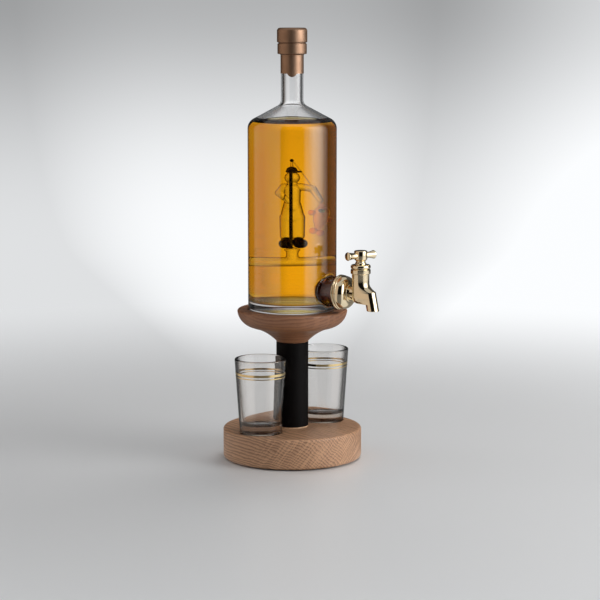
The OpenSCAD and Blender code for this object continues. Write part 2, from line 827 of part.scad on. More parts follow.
module plug_o_rings() {
    groove = ring_cut_r * 2 + 0.3;
    low = waterway_d / 2 + 2;
    color(rubber) at_tap()
        for (z = [low, low + groove + 1.4])
            translate([0, 0, z]) rotate_extrude() translate([plug_r - ring_cut_r - 0.02, 0]) circle(ring_cut_r);
}

module stop_hole() {
    translate([-1, 0, stop_z]) lie_along_x() cylinder(h = far / 10, r = stop_r + fix_gap);
}

module stop_pin() {
    color(steel) at_tap() translate([-0.9, 0, stop_z]) lie_along_x() cylinder(h = stem_r + 2.5, r = stop_r);
}

module arm_hole(grow) {
    for (a = [90, -90])
        translate([0, 0, arm_z]) rotate([0, 0, a + handle_turn]) lie_along_x()
            translate([0, 0, hub_d / 2 - peg_l - grow]) cylinder(h = 2 * peg_l, r = peg_r + grow);
}

module handle_hub() {
    outline = concat([[0, hub_low], [hub_neck_d / 2, hub_low]],
                     ease([hub_neck_d / 2, hub_low + 1.6], [hub_d / 2, hub_low + 4.2]),
                     arc(hub_d / 2 - 1, hub_top - 1.6, 1, 0, 90), [[0, hub_top]]);
    socket = square_w + 2 * fix_gap;
    color(gold) at_tap() difference() {
        rotate_extrude() polygon(outline);
        translate([-socket / 2, -socket / 2, hub_low - 1]) cube([socket, socket, hub_top - 3 - hub_low + 1.1]);
        arm_hole(fix_gap);
        translate([-hub_d, 0, arm_z]) lie_along_x() cylinder(h = hub_d - socket / 2, r = grub_r + fix_gap);
    }
}

module handle_arms() {
    tip = bar_l / 2;
    outline = concat([[0, hub_d / 2 - 2], [arm_root_d / 2, hub_d / 2 - 2]],
                     [for (i = [1:6]) let (t = i / 6)
                         [arm_root_d / 2 + (arm_end_d - arm_root_d) / 2 * t * t,
                          hub_d / 2 + (tip - 0.7 - hub_d / 2) * t]],
                     arc(arm_end_d / 2 - 0.7, tip - 0.7, 0.7, 15, 90), [[0, tip]]);
    color(gold) at_tap() {
        difference() {
            for (a = [90, -90])
                translate([0, 0, arm_z]) rotate([0, 0, a + handle_turn]) lie_along_x()
                    rotate_extrude() polygon(outline);
            translate([0, 0, hub_low]) cylinder(h = far / 10, r = hub_d / 2 + fix_gap);
        }
        intersection() {
            arm_hole(0);
            cylinder(h = far, r = hub_d / 2 + 0.5);
        }
    }
}

module hub_grub_screw() {
    color(steel) at_tap() translate([-hub_d / 2 + 0.3, 0, arm_z]) lie_along_x() difference() {
        cylinder(h = hub_d / 2 - 0.4 - square_w / 2, r = grub_r);
        translate([0, 0, -0.1]) cylinder(h = 1, r = grub_r / 2, $fn = 6);
    }
}

module stopper_cork() {
    color([0.75, 0.56, 0.36]) translate([0, 0, mouth_z + head_gap - cork_l])
        cylinder(h = cork_l + cork_socket, r = cork_r);
}

module stopper_head() {
    z = mouth_z + head_gap;
    outline = concat([[0, 0], [head_r - 0.6, 0], [head_r, 0.6]],
                     arc(head_r - head_round, head_h - head_round, head_round, 0, 90), [[0, head_h]]);
    color([0.3, 0.2, 0.14]) translate([0, 0, z]) difference() {
        rotate_extrude() polygon(outline);
        translate([0, 0, -1]) cylinder(h = cork_socket + 1 + fix_gap, r = cork_r + fix_gap);
    }
}

// The copper top of the capsule: a thin cup over the stopper's head
module capsule_top() {
    r = head_r + fix_gap;
    top = head_h + fix_gap;
    outline = concat([[r, 0.6], [r + foil_t, 0.6]],
                     arc(head_r - head_round, head_h - head_round, head_round + fix_gap + foil_t, 0, 90),
                     [[0, top + foil_t], [0, top]],
                     arc(head_r - head_round, head_h - head_round, head_round + fix_gap, 90, 0));
    color(copper) translate([0, 0, mouth_z + head_gap]) rotate_extrude() polygon(outline);
}

// Outside radius of a shot glass at height z
function glass_at(z) = glass_foot_r + (glass_rim_r - glass_foot_r) * z / glass_h;

module shot_glass(side) {
    lip = glass_wall / 2;
    inner_foot = glass_at(glass_floor) - glass_wall - 0.6;
    outline = concat([[0, 0.8], [glass_foot_r - 5, 0.8], [glass_foot_r - 4, 0]],
                     arc(glass_foot_r - heel_in, heel_in, heel_in, -90, 0),
                     [[glass_at(glass_h - lip), glass_h - lip]],
                     arc(glass_rim_r - lip, glass_h - lip, lip, 0, 180),
                     arc(inner_foot - 5, glass_floor + 5, 5, 0, -90), [[0, glass_floor]]);
    color(clear) at_glass(side) rotate_extrude() polygon(outline);
}

// One gold band around a shot glass, from height a to height b
module gold_band(a, b) {
    rotate_extrude() polygon([[glass_at(a) + fix_gap, a], [glass_at(a) + fix_gap + gold_t, a],
                              [glass_at(b) + fix_gap + gold_t, b], [glass_at(b) + fix_gap, b]]);
}

module gold_bands(side) {
    top = glass_h - band_drop;
    low = top - band_w - band_space;
    color(gold) at_glass(side) {
        gold_band(top - band_w, top);
        gold_band(low - line_w, low);
    }
}

module left_glass() {
    shot_glass(-1);
}

module left_gold_bands() {
    gold_bands(-1);
}

module right_glass() {
    shot_glass(1);
}

module right_gold_bands() {
    gold_bands(1);
}

base_disc();
base_felt();
base_screw();
column();
column_label();
dish();
dish_screw();
bottle();
capsule_skirt();
bridge_rod();
angler_body();
angler_cap();
angler_boots();
fishing_rod();
fishing_line();
fish();
fish_fins();
branch_bung();
tail_nut();
rose_gasket();
tap_rose();
tap_body();
gland_packing();
gland_nut();
valve_plug();
plug_o_rings();
stop_pin();
handle_hub();
handle_arms();
hub_grub_screw();
stopper_cork();
stopper_head();
capsule_top();
left_glass();
left_gold_bands();
right_glass();
right_gold_bands();
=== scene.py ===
# %% [markdown]
# # A whisky decanter with a tap
# The CAD model already gives every piece its size, its place and its joint. This lesson dresses it:
# clear glass, amber whisky, oak, copper foil and gold plate. Blender loads the CAD as a fixed frame,
# so a new piece that is drawn at its real size lands in the right place without any fitting.

# %% Load the frame
import json
import math

import bmesh
import bpy
from mathutils import Matrix, Vector


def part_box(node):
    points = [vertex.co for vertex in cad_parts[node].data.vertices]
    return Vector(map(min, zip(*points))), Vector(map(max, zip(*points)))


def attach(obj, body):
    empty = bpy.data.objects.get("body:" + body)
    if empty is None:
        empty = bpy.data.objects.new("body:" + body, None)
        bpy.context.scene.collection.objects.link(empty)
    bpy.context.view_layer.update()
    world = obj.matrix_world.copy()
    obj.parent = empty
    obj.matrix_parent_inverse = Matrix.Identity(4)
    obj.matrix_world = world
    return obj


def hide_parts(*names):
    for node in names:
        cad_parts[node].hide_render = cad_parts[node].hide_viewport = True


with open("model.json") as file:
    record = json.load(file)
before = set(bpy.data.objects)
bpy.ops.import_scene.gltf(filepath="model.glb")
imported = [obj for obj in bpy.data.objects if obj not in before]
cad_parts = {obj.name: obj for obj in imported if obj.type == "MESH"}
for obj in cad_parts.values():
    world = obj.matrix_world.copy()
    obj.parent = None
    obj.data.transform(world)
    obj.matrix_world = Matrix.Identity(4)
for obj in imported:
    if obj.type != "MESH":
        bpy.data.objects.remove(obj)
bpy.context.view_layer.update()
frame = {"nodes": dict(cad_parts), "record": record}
MM = 0.001


def box_mm(node):
    """Lowest and highest corner of a CAD node, in millimetres."""
    low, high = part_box(node)
    return low / MM, high / MM


# %% [markdown]
# ## Camera
# The photograph was taken from a little above the shot glasses with a long lens, so its upright lines
# stay almost parallel. A long lens far away does the same here. The horizon of the photograph lies
# near its top edge, and that row fixes how far the camera looks down.

# %% Camera
PHOTO_SIDE = 600
FOCAL = 2000
HORIZON_ROW = 10
AXIS_COLUMN = 292.2
AZIMUTH = math.radians(34)
EYE_DISTANCE = 1.796
EYE_HEIGHT = 0.405
SENSOR = 36.0
FAR_CLIP = 20.0

look_down = math.atan((PHOTO_SIDE / 2 - HORIZON_ROW) / FOCAL)
look_aside = math.atan((PHOTO_SIDE / 2 - AXIS_COLUMN) / FOCAL)
lens = bpy.data.cameras.new("photo_lens")
lens.sensor_width = SENSOR
lens.lens = FOCAL * SENSOR / PHOTO_SIDE
lens.clip_end = FAR_CLIP
camera = bpy.data.objects.new("photo_camera", lens)
camera.location = (math.sin(AZIMUTH) * EYE_DISTANCE, -math.cos(AZIMUTH) * EYE_DISTANCE, EYE_HEIGHT)
camera.rotation_euler = (math.pi / 2 - look_down, 0, AZIMUTH - look_aside)
bpy.context.collection.objects.link(camera)
bpy.context.scene.camera = camera
bpy.context.scene.view_settings.view_transform = "Standard"
print("camera looks down by", round(math.degrees(look_down), 2), "degrees, lens", lens.lens, "mm")

# %% [markdown]
# ## Helpers for node trees
# Materials and Geometry Nodes are both trees of nodes. A few small functions keep their code short. The
# first three do most of the work: one feeds a value or a link into a socket, one adds a node and one
# does arithmetic. The others build on them.

# %% Node helpers


def feed(tree, value, socket):
    """Link one socket to another, or set a plain value on it."""
    if isinstance(value, bpy.types.NodeSocket):
        tree.links.new(value, socket)
    else:
        socket.default_value = value


def add(tree, kind, inputs=(), **settings):
    """Add a node. Settings are its properties, inputs maps socket names to values or links."""
    node = tree.nodes.new(kind)
    for name, value in settings.items():
        setattr(node, name, value)
    for name, value in dict(inputs).items():
        feed(tree, value, node.inputs[name])
    return node


def calc(tree, operation, *terms):
    """A Math node on numbers or links. Returns its output."""
    node = add(tree, "ShaderNodeMath", operation=operation)
    for term, socket in zip(terms, node.inputs):
        feed(tree, term, socket)
    return node.outputs[0]


def remap(tree, value, low, high, to_low=0.0, to_high=1.0):
    """A smooth step from low to high."""
    inputs = {"Value": value, "From Min": low, "From Max": high, "To Min": to_low, "To Max": to_high}
    node = add(tree, "ShaderNodeMapRange", inputs, interpolation_type="SMOOTHSTEP")
    return node.outputs["Result"]


# %% Texture helpers


def noise(tree, place, scale, detail=2.0):
    """A soft noise between 0 and 1."""
    inputs = {"Vector": place, "Scale": scale, "Detail": detail}
    return add(tree, "ShaderNodeTexNoise", inputs).outputs["Fac"]


def blend(tree, share, first, second):
    """Mix two colours by a share."""
    node = add(tree, "ShaderNodeMix", data_type="RGBA")
    feed(tree, share, node.inputs["Factor"])
    feed(tree, first, node.inputs[6])
    feed(tree, second, node.inputs[7])
    return node.outputs[2]


def stretch(tree, place, sizes):
    """Scale a position by a different factor along each axis."""
    return add(tree, "ShaderNodeVectorMath", {0: place, 1: sizes}, operation="MULTIPLY").outputs[0]


def bump(tree, height, strength, depth):
    """Turn a height into a normal. Depth is in metres."""
    inputs = {"Height": height, "Strength": strength, "Distance": depth}
    return add(tree, "ShaderNodeBump", inputs).outputs["Normal"]


# %% New materials and groups
FLOAT = "NodeSocketFloat"
WHOLE = "NodeSocketInt"
COLOR = "NodeSocketColor"
VECTOR = "NodeSocketVector"
SHAPE = "NodeSocketGeometry"
FINISH = "NodeSocketMaterial"


def new_finish(name, **sockets):
    """A material. Plain values go straight onto the sockets of its Principled BSDF."""
    material = bpy.data.materials.new(name)
    material.use_nodes = True
    tree = material.node_tree
    shader = tree.nodes["Principled BSDF"]
    for socket, value in sockets.items():
        shader.inputs[socket.replace("_", " ")].default_value = value
    place = add(tree, "ShaderNodeTexCoord").outputs["Object"]
    return material, tree, shader.inputs, place


def new_group(name, inputs, outputs):
    """A shader group with named sockets. Returns the tree, its inputs and its outputs."""
    tree = bpy.data.node_groups.new(name, "ShaderNodeTree")
    for title, kind, value in inputs:
        socket = tree.interface.new_socket(title, in_out="INPUT", socket_type=kind)
        if value is not None:
            socket.default_value = value
    for title, kind in outputs:
        tree.interface.new_socket(title, in_out="OUTPUT", socket_type=kind)
    return tree, tree.nodes.new("NodeGroupInput").outputs, tree.nodes.new("NodeGroupOutput").inputs


# %% [markdown]
# ## Shared effects
# Three effects come back in several finishes, so each is a node group that is built once: the figure
# of oak, the faint marks that handling leaves on polished surfaces, and a fine speckle for paper,
# felt, rubber and cork. A group only puts out colours, masks and heights that vary over the surface.

# %% Oak figure
# The fibres run along X of the vector that comes in, and the heart of the tree lies at the pith. The
# patterns are noise, with so many cells to the millimetre along X, Y and Z. A low first number draws a
# pattern out along the fibres.
WAVES = (0.006, 0.03, 0.03)
WAVE_HEIGHT = 14.0
RIPPLES = (0.03, 0.22, 0.22)
RIPPLE_HEIGHT = 2.6
PORES = (0.09, 1.6, 1.6)
CLOUDS = (0.008, 0.02, 0.02)
RAY_TURN = 112.5
RAY_REACH = 0.03
RAY_LENGTH = 0.08
LATE_SHADE = 0.5
PORE_SHADE = 0.4
CLOUD_SHADE = 0.5
RAY_SHADE = 0.4
PALER = 0.14
oak_group, given, out = new_group(
    "Oak figure",
    [("Vector", VECTOR, None), ("End", FLOAT, 0.0), ("Pith Y", FLOAT, -50.0), ("Pith Z", FLOAT, -70.0),
     ("Ring", FLOAT, 2.8), ("Pale", COLOR, (0.5, 0.29, 0.17, 1)), ("Dark", COLOR, (0.26, 0.12, 0.06, 1))],
    [("Color", COLOR), ("Roughness", FLOAT), ("Height", FLOAT)])


def flat_length(tree, first, second):
    """Length of a flat vector, from its two parts."""
    squares = [calc(tree, "MULTIPLY", part, part) for part in (first, second)]
    return calc(tree, "SQRT", calc(tree, "ADD", *squares))


def draw_oak(tree):
    """Growth rings around the pith, rays across them, pores along the fibres."""
    place = stretch(tree, given["Vector"], (1 / MM, 1 / MM, 1 / MM))
    axes = add(tree, "ShaderNodeSeparateXYZ", {"Vector": place}).outputs
    side = calc(tree, "SUBTRACT", axes["Y"], given["Pith Y"])
    rise = calc(tree, "SUBTRACT", axes["Z"], given["Pith Z"])
    waves = noise(tree, stretch(tree, place, WAVES), 1.0, 3.0)
    ripples = noise(tree, stretch(tree, place, RIPPLES), 1.0, 2.0)
    reach = calc(tree, "MULTIPLY_ADD", waves, WAVE_HEIGHT, flat_length(tree, side, rise))
    reach = calc(tree, "MULTIPLY_ADD", ripples, RIPPLE_HEIGHT, reach)
    phase = calc(tree, "FRACT", calc(tree, "DIVIDE", reach, given["Ring"]))
    late = calc(tree, "SUBTRACT", remap(tree, phase, 0.25, 0.85), remap(tree, phase, 0.9, 1.0))
    spread = add(tree, "ShaderNodeCombineXYZ",
                 {"X": calc(tree, "MULTIPLY", calc(tree, "ARCTAN2", rise, side), RAY_TURN),
                  "Y": calc(tree, "MULTIPLY", reach, RAY_REACH),
                  "Z": calc(tree, "MULTIPLY", axes["X"], RAY_LENGTH)}).outputs[0]
    rays = calc(tree, "MULTIPLY", remap(tree, noise(tree, spread, 1.0, 1.0), 0.5, 0.62),
                remap(tree, given["End"], 0.2, 0.8, 0.15, 1.0))
    pores = remap(tree, noise(tree, stretch(tree, place, PORES), 1.0, 3.0), 0.56, 0.72)
    cloud = noise(tree, stretch(tree, place, CLOUDS), 1.0, 2.0)
    shade = calc(tree, "MULTIPLY_ADD", late, LATE_SHADE, calc(tree, "MULTIPLY", pores, PORE_SHADE))
    shade = calc(tree, "MULTIPLY_ADD", cloud, CLOUD_SHADE, calc(tree, "SUBTRACT", shade, PALER))
    shade = calc(tree, "SUBTRACT", shade, calc(tree, "MULTIPLY", rays, RAY_SHADE))
    feed(tree, blend(tree, calc(tree, "MAXIMUM", shade, 0.0), given["Pale"], given["Dark"]), out["Color"])
    feed(tree, calc(tree, "MULTIPLY_ADD", pores, 0.18, 0.44), out["Roughness"])
    feed(tree, calc(tree, "SUBTRACT", calc(tree, "MULTIPLY", late, 0.4), pores), out["Height"])


draw_oak(oak_group)

# %% Handling marks
marks_group, given, out = new_group(
    "Handling marks",
    [("Vector", VECTOR, None), ("Scale", FLOAT, 60.0), ("Low", FLOAT, 0.05), ("High", FLOAT, 0.12)],
    [("Roughness", FLOAT), ("Mask", FLOAT)])


def draw_marks(tree):
    """Broad smears with a few finer streaks in them, given as a roughness between low and high."""
    broad = noise(tree, given["Vector"], given["Scale"], 4.0)
    fine = noise(tree, stretch(tree, given["Vector"], (1.0, 1.0, 0.25)), 900.0, 2.0)
    mask = remap(tree, calc(tree, "MULTIPLY_ADD", fine, 0.25, broad), 0.5, 0.85)
    span = calc(tree, "SUBTRACT", given["High"], given["Low"])
    feed(tree, calc(tree, "MULTIPLY_ADD", mask, span, given["Low"]), out["Roughness"])
    feed(tree, mask, out["Mask"])


draw_marks(marks_group)

# %% Speckle
speckle_group, given, out = new_group(
    "Speckle", [("Vector", VECTOR, None), ("Scale", FLOAT, 800.0), ("First", COLOR, (0.1, 0.1, 0.1, 1)),
                ("Second", COLOR, (0.2, 0.2, 0.2, 1))],
    [("Color", COLOR), ("Height", FLOAT)])


def draw_speckle(tree):
    """Fine grains over soft clouds."""
    grain = noise(tree, given["Vector"], given["Scale"], 3.0)
    cloud = noise(tree, given["Vector"], 45.0, 2.0)
    mixed = calc(tree, "MULTIPLY_ADD", cloud, 0.5, calc(tree, "MULTIPLY", grain, 0.6))
    share = remap(tree, mixed, 0.35, 0.75)
    feed(tree, blend(tree, share, given["First"], given["Second"]), out["Color"])
    feed(tree, grain, out["Height"])


draw_speckle(speckle_group)
print("shader groups:", [g.name for g in (oak_group, marks_group, speckle_group)])

# %% [markdown]
# ## Finishes
# Each finish is a short function. Glass is a dielectric with a faint waviness from the blowing,
# and a painted shade darkens its rims where they are seen edge on.
# The whisky gets its colour from absorption, so thin layers look pale and thick ones deep amber.
# The three oak pieces share one figure but are turned from different blanks. The dish's darker
# colours are partly painted shade for the shadow it sits in, partly a redder tone of its own.

# %% Wood finishes


def oak(name, turn, pith, ring, pale, dark):
    """Waxed oak, with its fibres turned by three angles in degrees."""
    material, tree, shader, place = new_finish(name, Coat_Weight=0.12, Coat_Roughness=0.35)
    angles = [math.radians(a) for a in turn]
    along = add(tree, "ShaderNodeMapping", {"Vector": place, "Rotation": angles}).outputs[0]
    normal = add(tree, "ShaderNodeNewGeometry").outputs["Normal"]
    facing = add(tree, "ShaderNodeMapping", {"Vector": normal, "Rotation": angles}, vector_type="NORMAL")
    end = add(tree, "ShaderNodeSeparateXYZ", {"Vector": facing.outputs[0]}).outputs["X"]
    values = {"Vector": along, "End": calc(tree, "ABSOLUTE", end), "Pith Y": pith[0], "Pith Z": pith[1],
              "Ring": ring, "Pale": (*pale, 1), "Dark": (*dark, 1)}
    figure = add(tree, "ShaderNodeGroup", values, node_tree=oak_group).outputs
    feed(tree, figure["Color"], shader["Base Color"])
    feed(tree, figure["Roughness"], shader["Roughness"])
    feed(tree, bump(tree, figure["Height"], 0.35, 0.0003), shader["Normal"])
    return material


BASE_OAK = oak("base_oak", (0, 0, 18), (-88, -70), 2.4, (0.62, 0.352, 0.2), (0.115, 0.043, 0.019))
# The dish's darker colours are partly painted shade, partly a redder tone of its own.
DISH_OAK_SHADED = oak("dish_oak_shaded", (0, 0, -20), (30, -60), 3.4, (0.35, 0.155, 0.075), (0.14, 0.052, 0.022))
COLUMN_OAK = oak("column_oak", (0, 90, 0), (-30, -20), 3.0, (0.85, 0.6, 0.38), (0.5, 0.3, 0.17))
print("wood finishes:", BASE_OAK.name, DISH_OAK_SHADED.name, COLUMN_OAK.name)

# %% Metal finishes


def plated(name, colour, low, high, scale=60.0):
    """Bright metal with faint handling marks."""
    material, tree, shader, place = new_finish(name, Base_Color=(*colour, 1), Metallic=1.0)
    marks = add(tree, "ShaderNodeGroup", {"Vector": place, "Scale": scale, "Low": low, "High": high},
                node_tree=marks_group).outputs
    feed(tree, marks["Roughness"], shader["Roughness"])
    feed(tree, bump(tree, marks["Mask"], 0.05, 0.0001), shader["Normal"])
    return material


GOLD = plated("gold_plate", (0.93, 0.78, 0.53), 0.04, 0.1)
GOLD_PRINT = plated("gold_print", (0.86, 0.66, 0.34), 0.14, 0.26, 220.0)
STEEL = plated("steel", (0.62, 0.62, 0.64), 0.24, 0.4, 120.0)
COPPER = plated("copper_foil", (0.38, 0.235, 0.155), 0.46, 0.56, 90.0)
print("metal finishes:", GOLD.name, GOLD_PRINT.name, STEEL.name, COPPER.name)

# %% Glass finishes


def glass(name, colour, ior, wave, edge, span=(0.62, 0.97), weight=1.0):
    """Clear or tinted glass with a faint waviness. Its rim, seen edge on, takes the edge colour as painted
    shade.
    """
    material, tree, shader, place = new_finish(name, Roughness=0.0, IOR=ior, Transmission_Weight=weight)
    # Painted shade: the base colour turns to the edge colour where the glass is seen edge on.
    facing = add(tree, "ShaderNodeLayerWeight", {"Blend": 0.5}).outputs["Facing"]
    rim = remap(tree, facing, *span)
    feed(tree, blend(tree, rim, (*colour, 1), (*edge, 1)), shader["Base Color"])
    feed(tree, bump(tree, noise(tree, place, 60.0, 1.0), wave, 0.0005), shader["Normal"])
    return material


def soak(material, colour, density):
    """Let a clear material take light up along its depth. The colour is what passes."""
    tree = material.node_tree
    depth = add(tree, "ShaderNodeVolumeAbsorption", {"Color": (*colour, 1), "Density": density})
    feed(tree, depth.outputs[0], tree.nodes["Material Output"].inputs["Volume"])


# Each edge colour below is painted shade that darkens or deepens a rim seen edge on.
WATER_WHITE = (1.0, 1.0, 1.0)
TUMBLER_GLASS = glass("tumbler_glass", WATER_WHITE, 1.5, 0.03, (0.025, 0.024, 0.024), (0.33, 0.75))
# The grey-brown absorption is painted shade that darkens the thick foot of the clear tumbler glass.
soak(TUMBLER_GLASS, (0.76, 0.68, 0.6), 55.0)
CLEAR_GLASS = glass("clear_glass", WATER_WHITE, 1.5, 0.008, (0.25, 0.25, 0.26))
FIGURE_GLASS = glass("figure_glass", WATER_WHITE, 1.52, 0.05, (0.06, 0.02, 0.005), (0.35, 0.7))
EYE_GLASS = glass("eye_glass", (0.3, 0.42, 0.36), 1.5, 0.1, (0.12, 0.2, 0.18), weight=0.0)
PINK_GLASS = glass("pink_glass", (1.0, 0.68, 0.62), 1.4, 0.1, (0.85, 0.4, 0.36), (0.45, 0.9), 0.9)
# The fins lie in the whisky, so their glass bends light only by the ratio of the two.
ORANGE_GLASS = glass("orange_glass", (1.0, 0.62, 0.4), 1.08, 0.1, (0.95, 0.4, 0.15), (0.5, 0.9), 0.9)

# %% Whisky finish


def whisky_finish():
    """Amber from what the liquid soaks up: red passes, green is held back, blue is nearly all taken."""
    material, tree, shader, place = new_finish("whisky", Base_Color=(1, 1, 1, 1), Roughness=0.0, IOR=1.36,
                                               Transmission_Weight=1.0)
    feed(tree, bump(tree, noise(tree, place, 40.0, 1.0), 0.01, 0.0005), shader["Normal"])
    soak(material, (1.0, 0.828, 0.0), 70.0)
    return material


WHISKY = whisky_finish()
# Dark amber for the wedge at the wall: painted shade for the dark ring at the meniscus.
SHADE_RING_FINISH = glass("painted_shade_ring", (0.05, 0.015, 0.004), 1.36, 0.01, (0.02, 0.006, 0.002), weight=0.6)

# %% Paper, felt, rubber, cork


def grainy(name, first, second, scale, roughness, depth, **sockets):
    """A dull surface with a fine speckle in colour and height."""
    material, tree, shader, place = new_finish(name, Roughness=roughness, **sockets)
    grain = add(tree, "ShaderNodeGroup", {"Vector": place, "Scale": scale, "First": (*first, 1),
                                          "Second": (*second, 1)}, node_tree=speckle_group).outputs
    feed(tree, grain["Color"], shader["Base Color"])
    feed(tree, bump(tree, grain["Height"], 0.4, depth), shader["Normal"])
    return material


LABEL = grainy("black_label", (0.003, 0.0026, 0.0025), (0.006, 0.005, 0.005), 1500.0, 0.55, 0.00003,
               Specular_IOR_Level=0.08)
FELT = grainy("felt", (0.012, 0.012, 0.012), (0.04, 0.04, 0.04), 1800.0, 0.95, 0.0004, Sheen_Weight=0.4)
RUBBER = grainy("rubber", (0.1, 0.016, 0.012), (0.14, 0.026, 0.02), 900.0, 0.4, 0.0001)
CORK = grainy("cork", (0.42, 0.25, 0.12), (0.62, 0.42, 0.23), 420.0, 0.8, 0.0004)
STOPPER = grainy("stopper_plastic", (0.05, 0.03, 0.02), (0.08, 0.05, 0.035), 700.0, 0.45, 0.0001)
BLACK_GLASS = grainy("black_glass", (0.002, 0.002, 0.002), (0.005, 0.005, 0.005), 300.0, 0.08, 0.00005)
print("finishes:", len(bpy.data.materials))

# %% [markdown]
# ## Two makers' tools in Geometry Nodes
# Most of this object is turned: it comes off a lathe, a glass lathe or a spinning press. A small tree
# of Geometry Nodes does the same. It lays a grid over the outline's points and the turns, sends each
# grid point round the axis, and merges the seam and the poles. A second tree draws a rod of glass
# along a path, with a radius that runs from one end to the other.

# %% Geometry tree helpers


def new_geometry_tree(name, inputs):
    """A Geometry Nodes tree with named inputs. Returns the tree, its inputs and its output socket."""
    tree = bpy.data.node_groups.new(name, "GeometryNodeTree")
    for title, kind in inputs:
        tree.interface.new_socket(title, in_out="INPUT", socket_type=kind)
    tree.interface.new_socket("Piece", in_out="OUTPUT", socket_type=SHAPE)
    return tree, tree.nodes.new("NodeGroupInput").outputs, tree.nodes.new("NodeGroupOutput").inputs["Piece"]


def finish_tree(tree, mesh, given, result):
    """Every tree ends in real geometry with a material."""
    real = add(tree, "GeometryNodeRealizeInstances", {"Geometry": mesh}).outputs[0]
    painted = add(tree, "GeometryNodeSetMaterial", {"Geometry": real, "Material": given["Finish"]}).outputs[0]
    feed(tree, painted, result)


# %% Lathe tree
WELD = 0.0002


def build_lathe():
    """Spin an outline, given as points in the XZ plane, about Z."""
    inputs = [("Outline", SHAPE), ("Turns", WHOLE), ("Finish", FINISH)]
    tree, given, result = new_geometry_tree("Lathe", inputs)
    size = add(tree, "GeometryNodeAttributeDomainSize", {"Geometry": given["Outline"]}).outputs
    columns = calc(tree, "ADD", given["Turns"], 1)
    counts = {"Vertices X": size["Point Count"], "Vertices Y": columns}
    grid = add(tree, "GeometryNodeMeshGrid", counts).outputs["Mesh"]
    index = add(tree, "GeometryNodeInputIndex").outputs[0]
    row = calc(tree, "FLOOR", calc(tree, "DIVIDE", calc(tree, "ADD", index, 0.5), columns))
    column = calc(tree, "SUBTRACT", index, calc(tree, "MULTIPLY", row, columns))
    angle = calc(tree, "DIVIDE", calc(tree, "MULTIPLY", column, 2 * math.pi), given["Turns"])
    where = add(tree, "GeometryNodeInputPosition").outputs[0]
    point = add(tree, "GeometryNodeSampleIndex", data_type="FLOAT_VECTOR")
    feed(tree, given["Outline"], point.inputs["Geometry"])
    feed(tree, where, point.inputs["Value"])
    feed(tree, row, point.inputs["Index"])
    axes = add(tree, "ShaderNodeSeparateXYZ", {"Vector": point.outputs["Value"]}).outputs
    spun = add(tree, "ShaderNodeCombineXYZ",
               {"X": calc(tree, "MULTIPLY", axes["X"], calc(tree, "COSINE", angle)),
                "Y": calc(tree, "MULTIPLY", axes["X"], calc(tree, "SINE", angle)), "Z": axes["Z"]}).outputs[0]
    moved = add(tree, "GeometryNodeSetPosition", {"Geometry": grid, "Position": spun}).outputs[0]
    closed = add(tree, "GeometryNodeMergeByDistance", {"Geometry": moved, "Distance": WELD}).outputs[0]
    finish_tree(tree, closed, given, result)
    return tree


LATHE = build_lathe()

# %% Rod tree
ROD_SIDES = 24


def build_rod():
    """Sweep a round rod along a path, with a radius at each end."""
    inputs = [("Path", SHAPE), ("First Radius", FLOAT), ("Last Radius", FLOAT), ("Points", WHOLE),
              ("Finish", FINISH)]
    tree, given, result = new_geometry_tree("Rod", inputs)
    curve = add(tree, "GeometryNodeMeshToCurve", {"Mesh": given["Path"]}).outputs[0]
    smooth = add(tree, "GeometryNodeCurveSplineType", {"Curve": curve}, spline_type="CATMULL_ROM").outputs[0]
    path = add(tree, "GeometryNodeResampleCurve", {"Curve": smooth, "Count": given["Points"]}).outputs[0]
    share = add(tree, "GeometryNodeSplineParameter").outputs["Factor"]
    taper = calc(tree, "SUBTRACT", given["Last Radius"], given["First Radius"])
    radius = calc(tree, "MULTIPLY_ADD", share, taper, given["First Radius"])
    circle = {"Resolution": ROD_SIDES, "Radius": 1.0}
    ring = add(tree, "GeometryNodeCurvePrimitiveCircle", circle).outputs["Curve"]
    tube = add(tree, "GeometryNodeCurveToMesh",
               {"Curve": path, "Profile Curve": ring, "Scale": radius, "Fill Caps": True}).outputs[0]
    finish_tree(tree, tube, given, result)
    return tree


ROD = build_rod()
print("geometry trees:", LATHE.name, ROD.name)

# %% [markdown]
# ## Mesh helpers
# Everything below is drawn in millimetres, as on a workshop drawing, and scaled to metres when the
# piece is handed over to its CAD body. A finished piece sits at the origin, with its place in its mesh.

# %% Outline helpers


def arc(cx, cz, radius, start, end, steps=14):
    """Points on an arc, angles in degrees."""
    angles = [math.radians(start + (end - start) * i / steps) for i in range(steps + 1)]
    return [(cx + radius * math.cos(a), cz + radius * math.sin(a)) for a in angles]


def straight(start, end, pitch):
    """Points between two ends, at most a pitch apart, without the ends themselves."""
    count = max(1, math.ceil(math.dist(start, end) / pitch))
    shares = [i / count for i in range(1, count)]
    return [tuple(a + (b - a) * s for a, b in zip(start, end)) for s in shares]


def ease(start, end, steps=10):
    """An S-shaped run of points between two (radius, height) stations."""
    shares = [i / steps for i in range(steps + 1)]
    return [(start[0] + (end[0] - start[0]) * (1 - math.cos(math.pi * s)) / 2,
             start[1] + (end[1] - start[1]) * s) for s in shares]


# %% Object helpers
# Angles in degrees. An edge that turns by more than its angle stays sharp.
EDGE = 32
SOFT_EDGE = 40
ROD_EDGE = 50
MELTED_EDGE = 80


def link_object(name, mesh):
    """A new object in the scene."""
    obj = bpy.data.objects.new(name, mesh)
    bpy.context.collection.objects.link(obj)
    return obj


def settle(obj):
    """Replace an object's mesh by what its modifiers make of it."""
    bpy.context.view_layer.update()
    depsgraph = bpy.context.evaluated_depsgraph_get()
    made = bpy.data.meshes.new_from_object(obj.evaluated_get(depsgraph))
    obj.modifiers.clear()
    obj.data = made
    made.name = obj.name
    return obj


